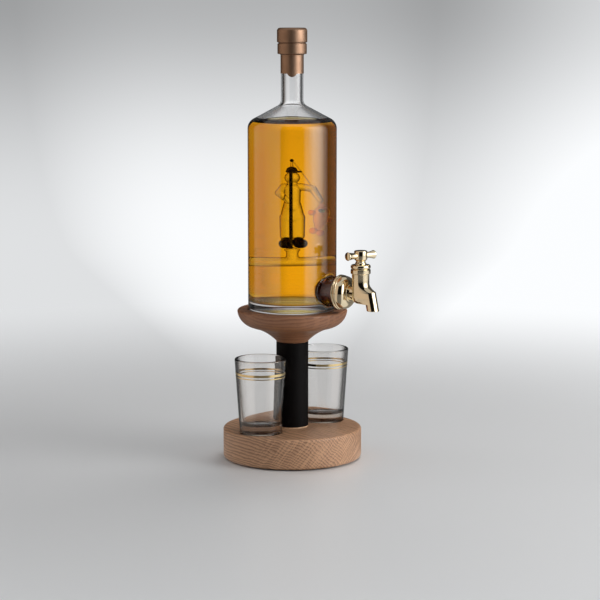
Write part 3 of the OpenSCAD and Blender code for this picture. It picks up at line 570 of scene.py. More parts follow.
def polish(obj, sharp=EDGE, turn_out=True):
    """Merge doubles, turn faces outwards, and shade smooth up to an angle."""
    bm = bmesh.new()
    bm.from_mesh(obj.data)
    bmesh.ops.remove_doubles(bm, verts=bm.verts, dist=1e-4)
    bmesh.ops.dissolve_degenerate(bm, edges=bm.edges, dist=1e-5)
    if turn_out:
        bmesh.ops.recalc_face_normals(bm, faces=bm.faces)
    limit = math.radians(sharp)
    for face in bm.faces:
        face.smooth = True
    for edge in bm.edges:
        edge.smooth = edge.calc_face_angle(0.0) < limit
    bm.to_mesh(obj.data)
    bm.free()
    return obj


def paint(obj, finish):
    """Give a whole piece one finish."""
    obj.data.materials.clear()
    obj.data.materials.append(finish)
    for face in obj.data.polygons:
        face.material_index = 0


# %% Makers
FINE_TURNS = 160
TURNS = 128
SMALL_TURNS = 96


def run_tree(name, points, tree, values):
    """Run a Geometry Nodes tree on a line of points. Values follow the tree's inputs after the first."""
    mesh = bpy.data.meshes.new(name)
    mesh.from_pydata(points, [(i, i + 1) for i in range(len(points) - 1)], [])
    obj = link_object(name, mesh)
    modifier = obj.modifiers.new(tree.name, "NODES")
    modifier.node_group = tree
    sockets = [item for item in tree.interface.items_tree if item.in_out == "INPUT"]
    for socket, value in zip(sockets[1:], values):
        modifier[socket.identifier] = value
    return settle(obj)


def turned(name, outline, finish, turns=TURNS, place=None, sharp=EDGE):
    """A piece off the lathe, from an outline of (radius, height) points."""
    obj = run_tree(name, [(r, 0, z) for r, z in outline], LATHE, [turns, finish])
    if place is not None:
        obj.data.transform(place)
    return polish(obj, sharp)


def rod(name, path, first, last, finish, points=24):
    """A rod of glass drawn along a path."""
    return polish(run_tree(name, path, ROD, [first, last, points, finish]), ROD_EDGE)


# %% Joining and cutting


def combine(obj, other, operation):
    """Join, cut or intersect an object with another, which is used up."""
    modifier = obj.modifiers.new(operation.title(), "BOOLEAN")
    modifier.operation = operation
    modifier.solver = "EXACT"
    modifier.object = other
    settle(obj)
    bpy.data.objects.remove(other)
    return obj


def loft(name, rings, finish, sharp=EDGE):
    """A closed skin through rings of equal length, capped at both ends."""
    size = len(rings[0])
    verts = [point for ring in rings for point in ring]
    faces = [[i * size + j, i * size + (j + 1) % size, (i + 1) * size + (j + 1) % size, (i + 1) * size + j]
             for i in range(len(rings) - 1) for j in range(size)]
    faces.append(list(range(size))[::-1])
    faces.append([(len(rings) - 1) * size + j for j in range(size)])
    mesh = bpy.data.meshes.new(name)
    mesh.from_pydata(verts, [], faces)
    mesh.materials.append(finish)
    return polish(link_object(name, mesh), sharp)


def joined(name, pieces, finish):
    """Put several pieces, which are used up, into one mesh."""
    bm = bmesh.new()
    for piece in pieces:
        bm.from_mesh(piece.data)
        bpy.data.objects.remove(piece)
    mesh = bpy.data.meshes.new(name)
    bm.to_mesh(mesh)
    bm.free()
    mesh.materials.append(finish)
    return link_object(name, mesh)


# %% Hand-over to a body


def hand_over(obj, body, nodes=()):
    """Scale a finished piece to metres and give it to its CAD body."""
    obj.data.transform(Matrix.Scale(MM, 4))
    obj.data.update()
    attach(obj, body)
    if nodes:
        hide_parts(*nodes)
    size = [round(v / MM, 1) for v in obj.dimensions]
    print(obj.name, "rides on", body, "size mm", size, "faces", len(obj.data.polygons))
    return obj


# %% [markdown]
# ## The bottle
# The body, shoulder and neck are one piece of blown glass, and the branch for the tap is sealed onto
# it with a small fillet. Inside and outside are two turned forms. The branch is a loft that starts
# inside the wall and flares where it leaves it. Booleans join and hollow them into one closed skin,
# because refraction only works on a skin that is closed and has no faces inside.

# %% Bottle sizes
bottle_low, bottle_high = box_mm("bottle")
rose_low, rose_high = box_mm("tap_rose")
FOOT = bottle_low.z
BODY_R = -bottle_low.x
MOUTH = bottle_high.z - FOOT
BRANCH_END = bottle_high.x
TAP_H = (rose_low.z + rose_high.z) / 2 - FOOT
WALL = 2.6
BODY_H = 165.0
HEEL_R = 4.0
PUNT_R = 30.0
PUNT_H = 3.5
FLOOR = 9.3
FLOOR_RISE = 5.0
FLOOR_ROUND = 3.5
SHOULDER_R = 10.0
SHOULDER_TURN = 62.0
NECK_R = 10.0
NECK_FILLET = 6.0
BORE_R = 7.4
RING_R = 12.75
RING_H = 9.0
RING_ROUND = 1.2
BRANCH_R = 13.5
BRANCH_BORE = 10.0
BRANCH_FILLET = 2.6
WALL_PITCH = 3.5
ABOVE_MOUTH = MOUTH + 2
upright = Matrix.Translation((0, 0, FOOT))


def neck_start():
    """Height at which the shoulder's slope has turned into the straight neck."""
    turn = math.radians(SHOULDER_TURN)
    slope_r = BODY_R - SHOULDER_R + SHOULDER_R * math.cos(turn)
    slope_z = BODY_H + SHOULDER_R * math.sin(turn)
    neck_r = NECK_R + NECK_FILLET - NECK_FILLET * math.cos(turn)
    return slope_z + (slope_r - neck_r) / math.tan(turn) + NECK_FILLET * math.sin(turn)


NECK_Z = neck_start()
print("bottle: foot", round(FOOT, 2), "neck from", round(NECK_Z, 2), "mouth", round(MOUTH, 2))

# %% Bottle outlines


def dome(radius, height, rise, steps=12):
    """A shallow rise over the axis, from its middle to its edge."""
    shares = [i / steps for i in range(steps)]
    return [(radius * s, height + rise * (1 - s * s)) for s in shares]


def bottle_outside():
    """From the middle of the foot up to the mouth."""
    ring_edge = RING_R - RING_ROUND
    ring_z = MOUTH - RING_H
    return (dome(PUNT_R, 0.0, PUNT_H) + [(PUNT_R, 0.0)]
            + arc(BODY_R - HEEL_R, HEEL_R, HEEL_R, -90, 0)
            + straight((BODY_R, HEEL_R), (BODY_R, BODY_H), WALL_PITCH)
            + arc(BODY_R - SHOULDER_R, BODY_H, SHOULDER_R, 0, SHOULDER_TURN)
            + arc(NECK_R + NECK_FILLET, NECK_Z, NECK_FILLET, 180 + SHOULDER_TURN, 180)
            + [(NECK_R, ring_z)]
            + arc(ring_edge, ring_z + RING_ROUND, RING_ROUND, -90, 0)
            + arc(ring_edge, MOUTH - RING_ROUND, RING_ROUND, 0, 90) + [(0.0, MOUTH)])


def bottle_inside(grow=0.0):
    """From the middle of the floor up to the mouth. Grow pushes the outline out into the glass."""
    radius = BODY_R - WALL + grow
    floor = FLOOR - grow
    fillet = NECK_FILLET + NECK_R - BORE_R - grow
    return (dome(radius - FLOOR_ROUND, floor, FLOOR_RISE)
            + arc(radius - FLOOR_ROUND, floor + FLOOR_ROUND, FLOOR_ROUND, -90, 0)
            + straight((radius, floor + FLOOR_ROUND), (radius, BODY_H), WALL_PITCH)
            + arc(BODY_R - SHOULDER_R, BODY_H, SHOULDER_R - WALL + grow, 0, SHOULDER_TURN)
            + arc(NECK_R + NECK_FILLET, NECK_Z, fillet, 180 + SHOULDER_TURN, 180)
            + [(BORE_R + grow, ABOVE_MOUTH), (0.0, ABOVE_MOUTH)])


# %% Branch
BRANCH_SIDES = 120
BRANCH_ROUND = 0.8
BRANCH_ROOT = BODY_R - 2.4 * WALL
BORE_LOW = BODY_R - 12
BORE_HIGH = BRANCH_END + 5


def branch_rings(sides=BRANCH_SIDES, steps=10):
    """Rings of the branch: from inside the wall, over the fillet, out to the rounded end."""
    angles = [2 * math.pi * j / sides for j in range(sides)]

    def ring(reach, place_x):
        """A ring about the tap's axis. The function says how far out a point lies."""
        flat = [(reach * math.cos(a), reach * math.sin(a)) for a in angles]
        return [(place_x(y), y, TAP_H + z) for y, z in flat]

    def on_wall(out):
        """Places points on the round wall, or so far out from it."""
        return lambda y: math.sqrt(BODY_R ** 2 - y ** 2) + out

    rings = [ring(BRANCH_R + BRANCH_FILLET, lambda y: BRANCH_ROOT)]
    for i in range(steps + 1):
        turn = math.radians(90 - 90 * i / steps)
        flare = BRANCH_R + BRANCH_FILLET * (1 - math.cos(turn))
        rings.append(ring(flare, on_wall(BRANCH_FILLET * (1 - math.sin(turn)) - 0.01)))
    for i in range(5):
        turn = math.radians(90 * i / 4)
        end_x = BRANCH_END - BRANCH_ROUND + BRANCH_ROUND * math.sin(turn)
        rings.append(ring(BRANCH_R - BRANCH_ROUND + BRANCH_ROUND * math.cos(turn), lambda y, x=end_x: x))
    return rings


# %% Bottle
BOTTLE_EDGE = 30
bottle = turned("glass_bottle", bottle_outside(), CLEAR_GLASS, FINE_TURNS)
combine(bottle, loft("branch", branch_rings(), CLEAR_GLASS), "UNION")
combine(bottle, turned("hollow", bottle_inside(), CLEAR_GLASS, FINE_TURNS), "DIFFERENCE")
along_x = Matrix.Translation((0, 0, TAP_H)) @ Matrix.Rotation(math.pi / 2, 4, "Y")
bore_outline = [(0, BORE_LOW), (BRANCH_BORE, BORE_LOW), (BRANCH_BORE, BORE_HIGH), (0, BORE_HIGH)]
combine(bottle, turned("bore", bore_outline, CLEAR_GLASS, BRANCH_SIDES, along_x), "DIFFERENCE")
bottle.data.transform(upright)
polish(bottle, BOTTLE_EDGE)
hand_over(bottle, "bottle", ["bottle"])

# %% [markdown]
# ## The glass angler
# The figure is lamp work: rods of hot glass, stuck together and flamed until they flow. Separate
# balls and limbs overlap here, and a voxel remesh with some smoothing fuses them in the same way.
# It stands on a rod that bridges the bottle.

# %% Figure sizes
boots_low, boots_high = box_mm("angler_boots")
BRIDGE_R = 4.2
FIGURE_TURN = math.radians(46)
BRIDGE_Z = box_mm("bridge_rod")[0].z + BRIDGE_R
SOLE = boots_low.z - BRIDGE_Z
HEM = boots_high.z - BRIDGE_Z
HIP = HEM + 22.0
COLLAR = HIP + 27.0
SKULL = COLLAR + 4.6
ROD_TOP = box_mm("fishing_rod")[1].z - BRIDGE_Z - 1.6
ROD_X = -2.6
ROD_Y = -7.8
TIP_X = -0.3
SHOULDER_Z = COLLAR - 3.6
LEFT_ELBOW = (-9.6, -1.5, SHOULDER_Z - 5.2)
LEFT_HAND = (ROD_X - 1.6, ROD_Y + 1.4, SHOULDER_Z - 12.5)
RIGHT_ELBOW = (13.4, -1.5, SHOULDER_Z - 1.8)
RIGHT_HAND = (18.8, -3.0, SHOULDER_Z - 12.5)
at_figure = Matrix.Translation((0, 0, BRIDGE_Z)) @ Matrix.Rotation(FIGURE_TURN, 4, "Z")
print("figure: sole", round(SOLE, 1), "hem", round(HEM, 1), "rod top", round(ROD_TOP, 1))

# %% Lamp work


def ball(bm, centre, radius, shape=(1, 1, 1)):
    """A ball of glass, which may be flattened."""
    place = Matrix.Translation(centre) @ Matrix.Diagonal((*shape, 1))
    bmesh.ops.create_icosphere(bm, subdivisions=4, radius=radius, matrix=place)


def limb(bm, start, end, first, last):
    """A tapered rod with round ends."""
    way = Vector(end) - Vector(start)
    turn = way.to_track_quat("Z", "Y").to_matrix().to_4x4()
    middle = (Vector(start) + Vector(end)) / 2
    bmesh.ops.create_cone(bm, cap_ends=True, segments=40, radius1=first, radius2=last, depth=way.length,
                          matrix=Matrix.Translation(middle) @ turn)
    ball(bm, start, first)
    ball(bm, end, last)


def melt(name, draw, finish, voxel=0.4, passes=6):
    """Fuse what draw puts into a mesh into one soft closed skin."""
    bm = bmesh.new()
    draw(bm)
    mesh = bpy.data.meshes.new(name)
    bm.to_mesh(mesh)
    bm.free()
    mesh.transform(at_figure)
    obj = link_object(name, mesh)
    fuse = obj.modifiers.new("Fuse", "REMESH")
    fuse.mode = "VOXEL"
    fuse.voxel_size = voxel
    flow = obj.modifiers.new("Flow", "SMOOTH")
    flow.factor = 0.5
    flow.iterations = passes
    settle(obj)
    paint(obj, finish)
    return polish(obj, MELTED_EDGE)


# %% Angler and bridge


def draw_angler(bm):
    """Legs, hips, trunk, head and arms."""
    for side in (-1, 1):
        limb(bm, (side * 4.0, 0, HEM + 1.5), (side * 3.7, 0, HIP - 4), 4.4, 5.0)
        limb(bm, (side * 3.2, 0, HIP - 5), (side * 1.2, 0, HIP + 7), 5.3, 4.9)
    limb(bm, (0, 0, HIP + 5), (0, 0, HIP + 10), 6.0, 5.5)
    limb(bm, (0, 0, HIP + 10), (0, 0, COLLAR - 6), 5.5, 5.8)
    limb(bm, (-4.4, 0, SHOULDER_Z), (4.4, 0, SHOULDER_Z), 3.0, 3.0)
    limb(bm, (0, 0, COLLAR - 4), (0, 0, SKULL - 2), 3.3, 3.5)
    ball(bm, (0, 0, SKULL), 5.2, (1, 0.96, 1.04))
    for shoulder_x, elbow, hand in ((-5.4, LEFT_ELBOW, LEFT_HAND), (5.4, RIGHT_ELBOW, RIGHT_HAND)):
        limb(bm, (shoulder_x, 0, SHOULDER_Z), elbow, 3.3, 2.9)
        limb(bm, elbow, hand, 2.9, 2.1)


def draw_bridge(bm):
    """The rod across the bottle and the stem that carries the boots."""
    span = 2 * (BODY_R - WALL - 0.2)
    limb(bm, (0, 0, 1), (0, 0, SOLE * 0.6), 4.6, 4.0)
    limb(bm, (0, 0, SOLE * 0.55), (0, 0, SOLE - 3.2), 4.0, 4.3)
    bmesh.ops.create_cone(bm, cap_ends=True, segments=64, radius1=BRIDGE_R, radius2=BRIDGE_R, depth=span,
                          matrix=Matrix.Rotation(math.pi / 2, 4, "Y"))
    ball(bm, (0, 0, SOLE - 1.6), 5.6, (1, 0.8, 0.3))


angler = melt("glass_angler", draw_angler, FIGURE_GLASS, 0.32, 9)
bridge = melt("glass_bridge", draw_bridge, FIGURE_GLASS, 0.36, 6)
print("angler and bridge, faces:", len(angler.data.polygons), len(bridge.data.polygons))

# %% Black cap, boots and rod


def draw_cap(bm):
    """A round crown with a peak to one side."""
    brim = SKULL + 4.4
    ball(bm, (0, 0, brim + 1.2), 4.5, (1, 1, 0.4))
    ball(bm, (-0.3, 0, brim + 2.4), 3.7, (1, 1, 0.9))
    limb(bm, (2.4, -0.6, brim + 1.1), (6.0, -0.6, brim + 0.9), 1.1, 0.8)
    ball(bm, (3.6, -0.6, brim + 1.0), 3.2, (1, 0.9, 0.28))


def draw_boots(bm):
    """Two stout boots with their toes to the front."""
    for side in (-1, 1):
        limb(bm, (side * 4.1, 0, SOLE + 4.0), (side * 4.1, 0, HEM - 3.4), 3.8, 3.9)
        limb(bm, (side * 4.6, -1.8, SOLE + 4.3), (side * 5.9, -2.4, SOLE + 4.3), 4.3, 4.2)


def placed(points):
    """Points of the figure, at its place in the bottle."""
    return [at_figure @ Vector(point) for point in points]


cap = melt("black_cap", draw_cap, BLACK_GLASS, 0.35, 4)
boots = melt("black_boots", draw_boots, BLACK_GLASS, 0.35, 4)
rod_path = placed([(ROD_X, ROD_Y, z) for z in (SOLE + 0.3, (SOLE + SKULL) / 2, SKULL + 6)])
fishing_rod = rod("black_rod", rod_path, 1.35, 1.3, BLACK_GLASS)
tip_path = placed([(TIP_X, 0, z) for z in (ROD_TOP - 6.5, ROD_TOP - 3.5, ROD_TOP - 0.8)])
rod_tip = rod("glass_tip", tip_path, 1.1, 0.8, FIGURE_GLASS)
bead = melt("black_bead", lambda bm: ball(bm, (TIP_X, 0, ROD_TOP), 1.4), BLACK_GLASS, 0.25, 1)
line_path = placed([(0.4, -0.6, ROD_TOP - 0.4), (9.4, -3.6, (ROD_TOP + RIGHT_HAND[2]) / 2 + 1.0),
                    (RIGHT_HAND[0] - 0.4, RIGHT_HAND[1], RIGHT_HAND[2] + 1.6)])
fishing_line = rod("glass_line", line_path, 0.4, 0.4, FIGURE_GLASS)
print("rod and line end at", [round(v, 1) for v in rod_path[-1]], [round(v, 1) for v in line_path[-1]])

# %% Fish
FISH_TOP = RIGHT_HAND[2] - 2.6
FISH_X = RIGHT_HAND[0]
FISH_Y = RIGHT_HAND[1]


def draw_fish(bm):
    """A plump body that hangs from its mouth and curls a little."""
    mouth, gill, belly, tail = (Vector((FISH_X + x, FISH_Y, FISH_TOP + z))
                                for x, z in ((0.6, -1.4), (0.9, -8.4), (0.0, -15.0), (-2.0, -23.0)))
    limb(bm, mouth, gill, 1.8, 5.8)
    limb(bm, gill, belly, 5.8, 5.4)
    limb(bm, belly, tail, 5.4, 2.0)


def draw_fins(bm):
    """A forked tail and two side fins."""
    for x, z in ((-5.0, -24.4), (-0.2, -26.6)):
        ball(bm, (FISH_X + x, FISH_Y, FISH_TOP + z), 3.0, (1.0, 0.4, 1.0))
    ball(bm, (FISH_X - 6.0, FISH_Y - 0.5, FISH_TOP - 8.0), 2.6, (1.1, 0.45, 1.0))
    ball(bm, (FISH_X + 6.4, FISH_Y, FISH_TOP - 15.4), 2.2, (0.9, 0.4, 1.2))


def draw_eyes(bm):
    """A bead on each cheek."""
    for side in (-1, 1):
        ball(bm, (FISH_X + 0.9, FISH_Y + side * 4.9, FISH_TOP - 6.8), 1.8, (1.3, 0.8, 0.8))


fish = melt("pink_fish", draw_fish, PINK_GLASS, 0.35, 4)
fins = melt("orange_fins", draw_fins, ORANGE_GLASS, 0.3, 2)
eyes = melt("fish_eyes", draw_eyes, EYE_GLASS, 0.2, 1)
print("fish, faces:", len(fish.data.polygons), "fins:", len(fins.data.polygons))

# %% [markdown]
# ## The whisky
# Liquid in glass shares a wall with it. Two skins at the same place would fight, and a gap would look
# like a layer of air, so the whisky reaches a hair into the glass. The rays then cross both skins one
# after the other and bend as they should. The clear figure needs a hollow in the whisky for the same
# reason, cut a hair smaller than the glass that fills it. At the wall the surface climbs in a meniscus.
# A dark wedge of liquid at the wall is painted shade for the dark ring that the meniscus shows.

# %% Whisky outlines
OVERLAP = 0.15
LEVEL = MOUTH - 69.0
CLIMB = 1.6
MENISCUS = 3.0
SHADE_RING_DEEP = 1.5
SHADE_RING_THICK = 1.1


def below(outline, level):
    """The part of a rising outline up to a level."""
    kept = []
    for first, last in zip(outline, outline[1:]):
        kept.append(first)
        if first[1] <= level < last[1] and first[0] > BODY_R / 2:
            share = (level - first[1]) / (last[1] - first[1])
            return kept + [(first[0] + (last[0] - first[0]) * share, level)]
    return kept


def whisky_outline():
    """Up the inside of the bottle, then over the meniscus to the middle of the surface."""
    side = below(bottle_inside(OVERLAP), LEVEL + CLIMB)
    edge = side[-1][0]
    shares = [i / 10 for i in range(1, 11)]
    return side + [(edge - MENISCUS * s, LEVEL + CLIMB * (1 - s) ** 2) for s in shares] + [(0.0, LEVEL)]


def shade_ring_outline():
    """A wedge of liquid at the wall, coloured dark amber: painted shade for the dark ring the meniscus shows.
    """
    wall = below(bottle_inside(), LEVEL + CLIMB - 0.2)
    outer = [(r, z) for r, z in wall if z > LEVEL - SHADE_RING_DEEP and r > BODY_R / 2]
    inner = [(r - SHADE_RING_THICK, z - 0.2) for r, z in reversed(outer)]
    return outer + inner + [outer[0]]


# %% Whisky and what stands in it
CORE_GAP = 0.12


def shrunk(obj, depth):
    """A copy of an object, with its skin drawn in."""
    copy = link_object("core", obj.data.copy())
    thin = copy.modifiers.new("Shrink", "DISPLACE")
    thin.strength = -depth
    thin.mid_level = 0.0
    return settle(copy)


whisky = turned("whisky", whisky_outline(), WHISKY, FINE_TURNS, upright)
for piece in (angler, bridge, fish):
    combine(whisky, shrunk(piece, CORE_GAP), "DIFFERENCE")
paint(whisky, WHISKY)
polish(whisky, SOFT_EDGE, False)
hand_over(whisky, "bottle")
# The dark wedge at the wall is a painted shade ring.
hand_over(turned("whisky_shade_ring", shade_ring_outline(), SHADE_RING_FINISH, FINE_TURNS, upright), "bottle")
for piece, slot, *nodes in ((angler, "clear_glass", "angler_body"), (bridge, "clear_glass", "bridge_rod"),
                            (cap, "black_glass", "angler_cap"), (boots, "black_glass", "angler_boots"),
                            (fishing_rod, "black_glass", "fishing_rod"),
                            (fishing_line, "clear_glass", "fishing_line"),
                            (fish, "pink_glass", "fish"), (fins, "orange_glass", "fish_fins"),
                            (eyes, "black_glass"), (bead, "black_glass"), (rod_tip, "clear_glass")):
    hand_over(piece, "bottle", nodes)

# %% [markdown]
# ## The tap
# The tap is cast, turned and gold plated. Its rose, gland nut, hub and arms are turned. The body is
# the piece that takes skill: an upright barrel that swells forward into a leaning spout in one S.
# Each level slice of it is the hull of two circles, one for the barrel and one for the spout, so a
# loft through the slices flows from one into the other.

# %% Tap sizes
tap_low, tap_high = box_mm("tap_body")
turn_joint = next(j for j in frame["record"]["behaviour"]["joints"] if j["name"] == "tap_turn")
TAP_Z = FOOT + TAP_H
BARREL_X = turn_joint["pos_m"][0] / MM
BARREL_R = 7.8
COLLAR_R = 8.9
COLLAR_TOP = tap_high.z - TAP_Z
INLET_R = 6.2
TAIL_R = 4.8
SPOUT_R = 5.5
SPOUT_BORE = 4.0
SPOUT_REACH = 13.0
SPOUT_DROP = 14.5
SPOUT_LEAN = math.tan(math.radians(12))
BARREL_DROP = 8.8
BOTTOM_R = 6.0
BOTTOM_TURN = 80
BOTTOM_Z = BOTTOM_R - BARREL_DROP - BOTTOM_R * math.sin(math.radians(BOTTOM_TURN))
SWELL_TOP = 10.0
SWELL_END = 2.2
OUTLET_ROUND = 0.4
at_barrel = Matrix.Translation((BARREL_X, 0, TAP_Z))
on_tap_axis = Matrix.Translation((0, 0, TAP_Z)) @ Matrix.Rotation(math.pi / 2, 4, "Y")
print("tap: axis at height", round(TAP_Z, 2), "barrel at", round(BARREL_X, 2))

# %% Tap slices


def slice_ring(z, back_x, back_r, front_x, front_r, sides=128):
    """One level slice: the hull of a circle at the back and a circle at the front."""
    ring = []
    for j in range(sides):
        angle = 2 * math.pi * j / sides
        cx, radius = max(((back_x, back_r), (front_x, front_r)), key=lambda c: c[0] * math.cos(angle) + c[1])
        ring.append((cx + radius * math.cos(angle), radius * math.sin(angle), z))
    return ring


def round_ring(z, x, radius):
    """A level slice that is one circle."""
    return slice_ring(z, x, radius, x, radius)


def spout_x(z):
    """Where the spout's axis is at height z."""
    return SPOUT_REACH - (z + SPOUT_DROP) * SPOUT_LEAN


# %% Barrel and spout


def barrel_slices():
    """The collar, and the barrel as it swells forward."""
    collar = ([(COLLAR_R - 0.7, COLLAR_TOP), (COLLAR_R, COLLAR_TOP - 0.7)]
              + arc(COLLAR_R - 0.6, COLLAR_TOP - 3.7, 0.6, 0, -90, 4)
              + arc(BARREL_R + 0.5, COLLAR_TOP - 4.8, 0.5, 90, 180, 4))
    rings = [round_ring(z, 0, r) for r, z in collar]
    for i in range(25):
        share = i / 24
        z = SWELL_TOP + (SWELL_END - SWELL_TOP) * share
        push = share ** 2.2
        front_r = BARREL_R + (SPOUT_R - BARREL_R) * push
        rings.append(slice_ring(z, 0, BARREL_R, push * spout_x(SWELL_END), front_r))
    return rings


def bottom_slices():
    """Barrel and spout side by side, until the barrel's round bottom has run out into the spout."""
    rings = [slice_ring(z, 0, BARREL_R, spout_x(z), SPOUT_R) for z in (1.0, 0.0, -1.4)]
    for i in range(15):
        turn = math.radians(BOTTOM_TURN * i / 14)
        z = BOTTOM_R - BARREL_DROP - BOTTOM_R * math.sin(turn)
        rings.append(slice_ring(z, 0, BARREL_R - BOTTOM_R * (1 - math.cos(turn)), spout_x(z), SPOUT_R))
    for share in (0.25, 0.5, 0.75, 1.0):
        z = BOTTOM_Z - 0.12 * share
        rings.append(slice_ring(z, spout_x(z) * share, 2.9 * (1 - share) + 2.0 * share, spout_x(z), SPOUT_R))
    return rings


def spout_slices():
    """The spout alone, over the rim of its outlet and up the bore."""
    outlet_z = -SPOUT_DROP
    rim = (arc(SPOUT_R - OUTLET_ROUND, OUTLET_ROUND - SPOUT_DROP, OUTLET_ROUND, 0, -90, 4)
           + [(SPOUT_BORE + 0.3, outlet_z), (SPOUT_BORE + 0.1, OUTLET_ROUND - SPOUT_DROP)])
    rings = [round_ring(z, spout_x(z), SPOUT_R) for z in (BOTTOM_Z - 0.3, BOTTOM_Z - 2.5, 0.6 - SPOUT_DROP)]
    rings += [round_ring(z, spout_x(outlet_z), radius) for radius, z in rim]
    return rings + [round_ring(z, spout_x(z), SPOUT_BORE) for z in (-10.0, -5.0)]


# %% Tap body
TAIL_END = tap_low.x
INLET_START = rose_high.x - 0.5
INLET_END = BARREL_X - 3
tap_body = loft("gold_tap_body", barrel_slices() + bottom_slices() + spout_slices(), GOLD, SOFT_EDGE)
tap_body.data.transform(at_barrel)
tail_outline = [(0, TAIL_END), (TAIL_R - 0.5, TAIL_END), (TAIL_R, TAIL_END + 0.5), (TAIL_R, INLET_START),
                (INLET_R, INLET_START), (INLET_R, INLET_END), (0, INLET_END)]
combine(tap_body, turned("tail", tail_outline, GOLD, SMALL_TURNS, on_tap_axis), "UNION")
polish(tap_body, SOFT_EDGE)
hand_over(tap_body, "bottle", ["tap_body"])

# %% Rose
ROSE_R = (rose_high.z - rose_low.z) / 2
ROSE_LONG = rose_high.x - rose_low.x
ROSE_NECK = INLET_R + 1.7
ROSE_HOLE = BRANCH_R + 0.3
ROSE_WALL = 4.0
DOME_R = ROSE_R - 0.8
DOME_X = 4.8
REAR_BEAD = 1.3
FRONT_BEAD = 1.1
FRONT_BEAD_R = ROSE_R - 1.35
FRONT_BEAD_X = 3.65
NECK_ROUND = 0.6


def rose_outline():
    """Two beads at the rear, then a full dome that draws in to the inlet."""
    reach = ROSE_LONG - 0.7 - DOME_X
    tail_hole = TAIL_R + 0.05
    angles = [math.radians(a) for a in range(0, 91, 5)]
    shoulder = [(ROSE_NECK + (DOME_R - ROSE_NECK) * math.cos(a) ** 0.8, DOME_X + reach * math.sin(a) ** 0.9)
                for a in angles]
    return ([(ROSE_HOLE, ROSE_WALL), (ROSE_HOLE, 0.2)]
            + arc(ROSE_R - REAR_BEAD, REAR_BEAD, REAR_BEAD, -90, 80, 12)
            + arc(FRONT_BEAD_R, FRONT_BEAD_X, FRONT_BEAD, -80, 80, 10) + shoulder
            + arc(ROSE_NECK - NECK_ROUND, ROSE_LONG - NECK_ROUND, NECK_ROUND, 0, 90, 6)
            + [(tail_hole, ROSE_LONG), (tail_hole, ROSE_WALL), (ROSE_HOLE, ROSE_WALL)])


at_rose = on_tap_axis @ Matrix.Translation((0, 0, rose_low.x))
rose = turned("gold_rose", rose_outline(), GOLD, FINE_TURNS, at_rose, SOFT_EDGE)
hand_over(rose, "bottle", ["tap_rose"])

# %% Gland nut
GLAND_TOP = box_mm("gland_nut")[1].z - TAP_Z
GLAND_BEAD = 1.7
SPIGOT_R = 6.2
SPIGOT_LOW = COLLAR_TOP - 6
STEM_R = 3.1


def gland_outline():
    """A rounded bead over the collar, with a spigot down into the barrel."""
    edge = COLLAR_R - GLAND_BEAD
    seat = COLLAR_TOP + 0.05
    return ([(STEM_R, SPIGOT_LOW), (SPIGOT_R, SPIGOT_LOW), (SPIGOT_R, seat), (edge, seat)]
            + arc(edge, seat + GLAND_BEAD, GLAND_BEAD, -80, 0, 8)
            + arc(edge, GLAND_TOP - GLAND_BEAD, GLAND_BEAD, 0, 90, 8)
            + [(STEM_R, GLAND_TOP), (STEM_R, SPIGOT_LOW)])


gland = turned("gold_gland_nut", gland_outline(), GOLD, TURNS, at_barrel, SOFT_EDGE)
hand_over(gland, "bottle", ["gland_nut"])

# %% Hub and arm outlines
hub_low, hub_high = box_mm("handle_hub")
arms_low, arms_high = box_mm("handle_arms")
HUB_LOW = hub_low.z - TAP_Z
HUB_TOP = hub_high.z - TAP_Z
HUB_R = 5.9
HUB_NECK = 4.2
HUB_FOOT = HUB_NECK + 0.9
HUB_ROUND = 1.1
HUB_CROWN = 0.35
ARM_Z = (arms_low.z + arms_high.z) / 2 - TAP_Z
ARM_TURN = -20
ARM_REACH = 15.4
ARM_ROOT = 2.6
ARM_END = 3.8
ARM_ROUND = 0.9
ARM_CROWN = 0.25


def hub_outline():
    """A flared foot, a waist and a drum with a low crown."""
    edge = HUB_R - HUB_ROUND
    crown_z = HUB_TOP - HUB_CROWN
    return ([(0, HUB_LOW), (HUB_FOOT, HUB_LOW)]
            + ease((HUB_FOOT, HUB_LOW + 0.3), (HUB_NECK, HUB_LOW + 2.2))
            + ease((HUB_NECK, HUB_LOW + 2.4), (HUB_R, HUB_LOW + 4.6))
            + arc(edge, crown_z - HUB_ROUND, HUB_ROUND, 0, 90, 8) + dome(edge, crown_z, HUB_CROWN)[::-1])


def arm_outline():
    """A horn that widens to a rounded end."""
    edge = ARM_END - ARM_ROUND
    crown_z = ARM_REACH - ARM_CROWN
    shares = [i / 12 for i in range(13)]
    flare = [(ARM_ROOT + (ARM_END - ARM_ROOT) * s * s, HUB_R + (ARM_REACH - 1.0 - HUB_R) * s) for s in shares]
    return ([(0, HUB_R - 1), (ARM_ROOT, HUB_R - 1)] + flare
            + arc(edge, crown_z - ARM_ROUND, ARM_ROUND, 15, 90, 8) + dome(edge, crown_z, ARM_CROWN)[::-1])


# %% Hub and arms


def arm(degrees):
    """One arm of the bar, at a bearing about the barrel."""
    facing = Matrix.Rotation(math.radians(degrees), 4, "Z") @ Matrix.Rotation(math.pi / 2, 4, "Y")
    place = at_barrel @ Matrix.Translation((0, 0, ARM_Z)) @ facing
    return turned("arm", arm_outline(), GOLD, SMALL_TURNS, place, SOFT_EDGE)


hub = turned("gold_hub", hub_outline(), GOLD, TURNS, at_barrel, SOFT_EDGE)
hand_over(hub, "valve", ["handle_hub"])
arms = joined("gold_arms", [arm(side + ARM_TURN) for side in (90, -90)], GOLD)
hand_over(arms, "valve", ["handle_arms"])

# %% [markdown]
# ## The copper capsule
# A foil capsule is spun over the stopper and shrunk onto the neck. The top goes with the stopper and
# the skirt stays on the bottle. The skirt ends in a tear tab, which is made by letting its lower edge
# dip where the tab is.

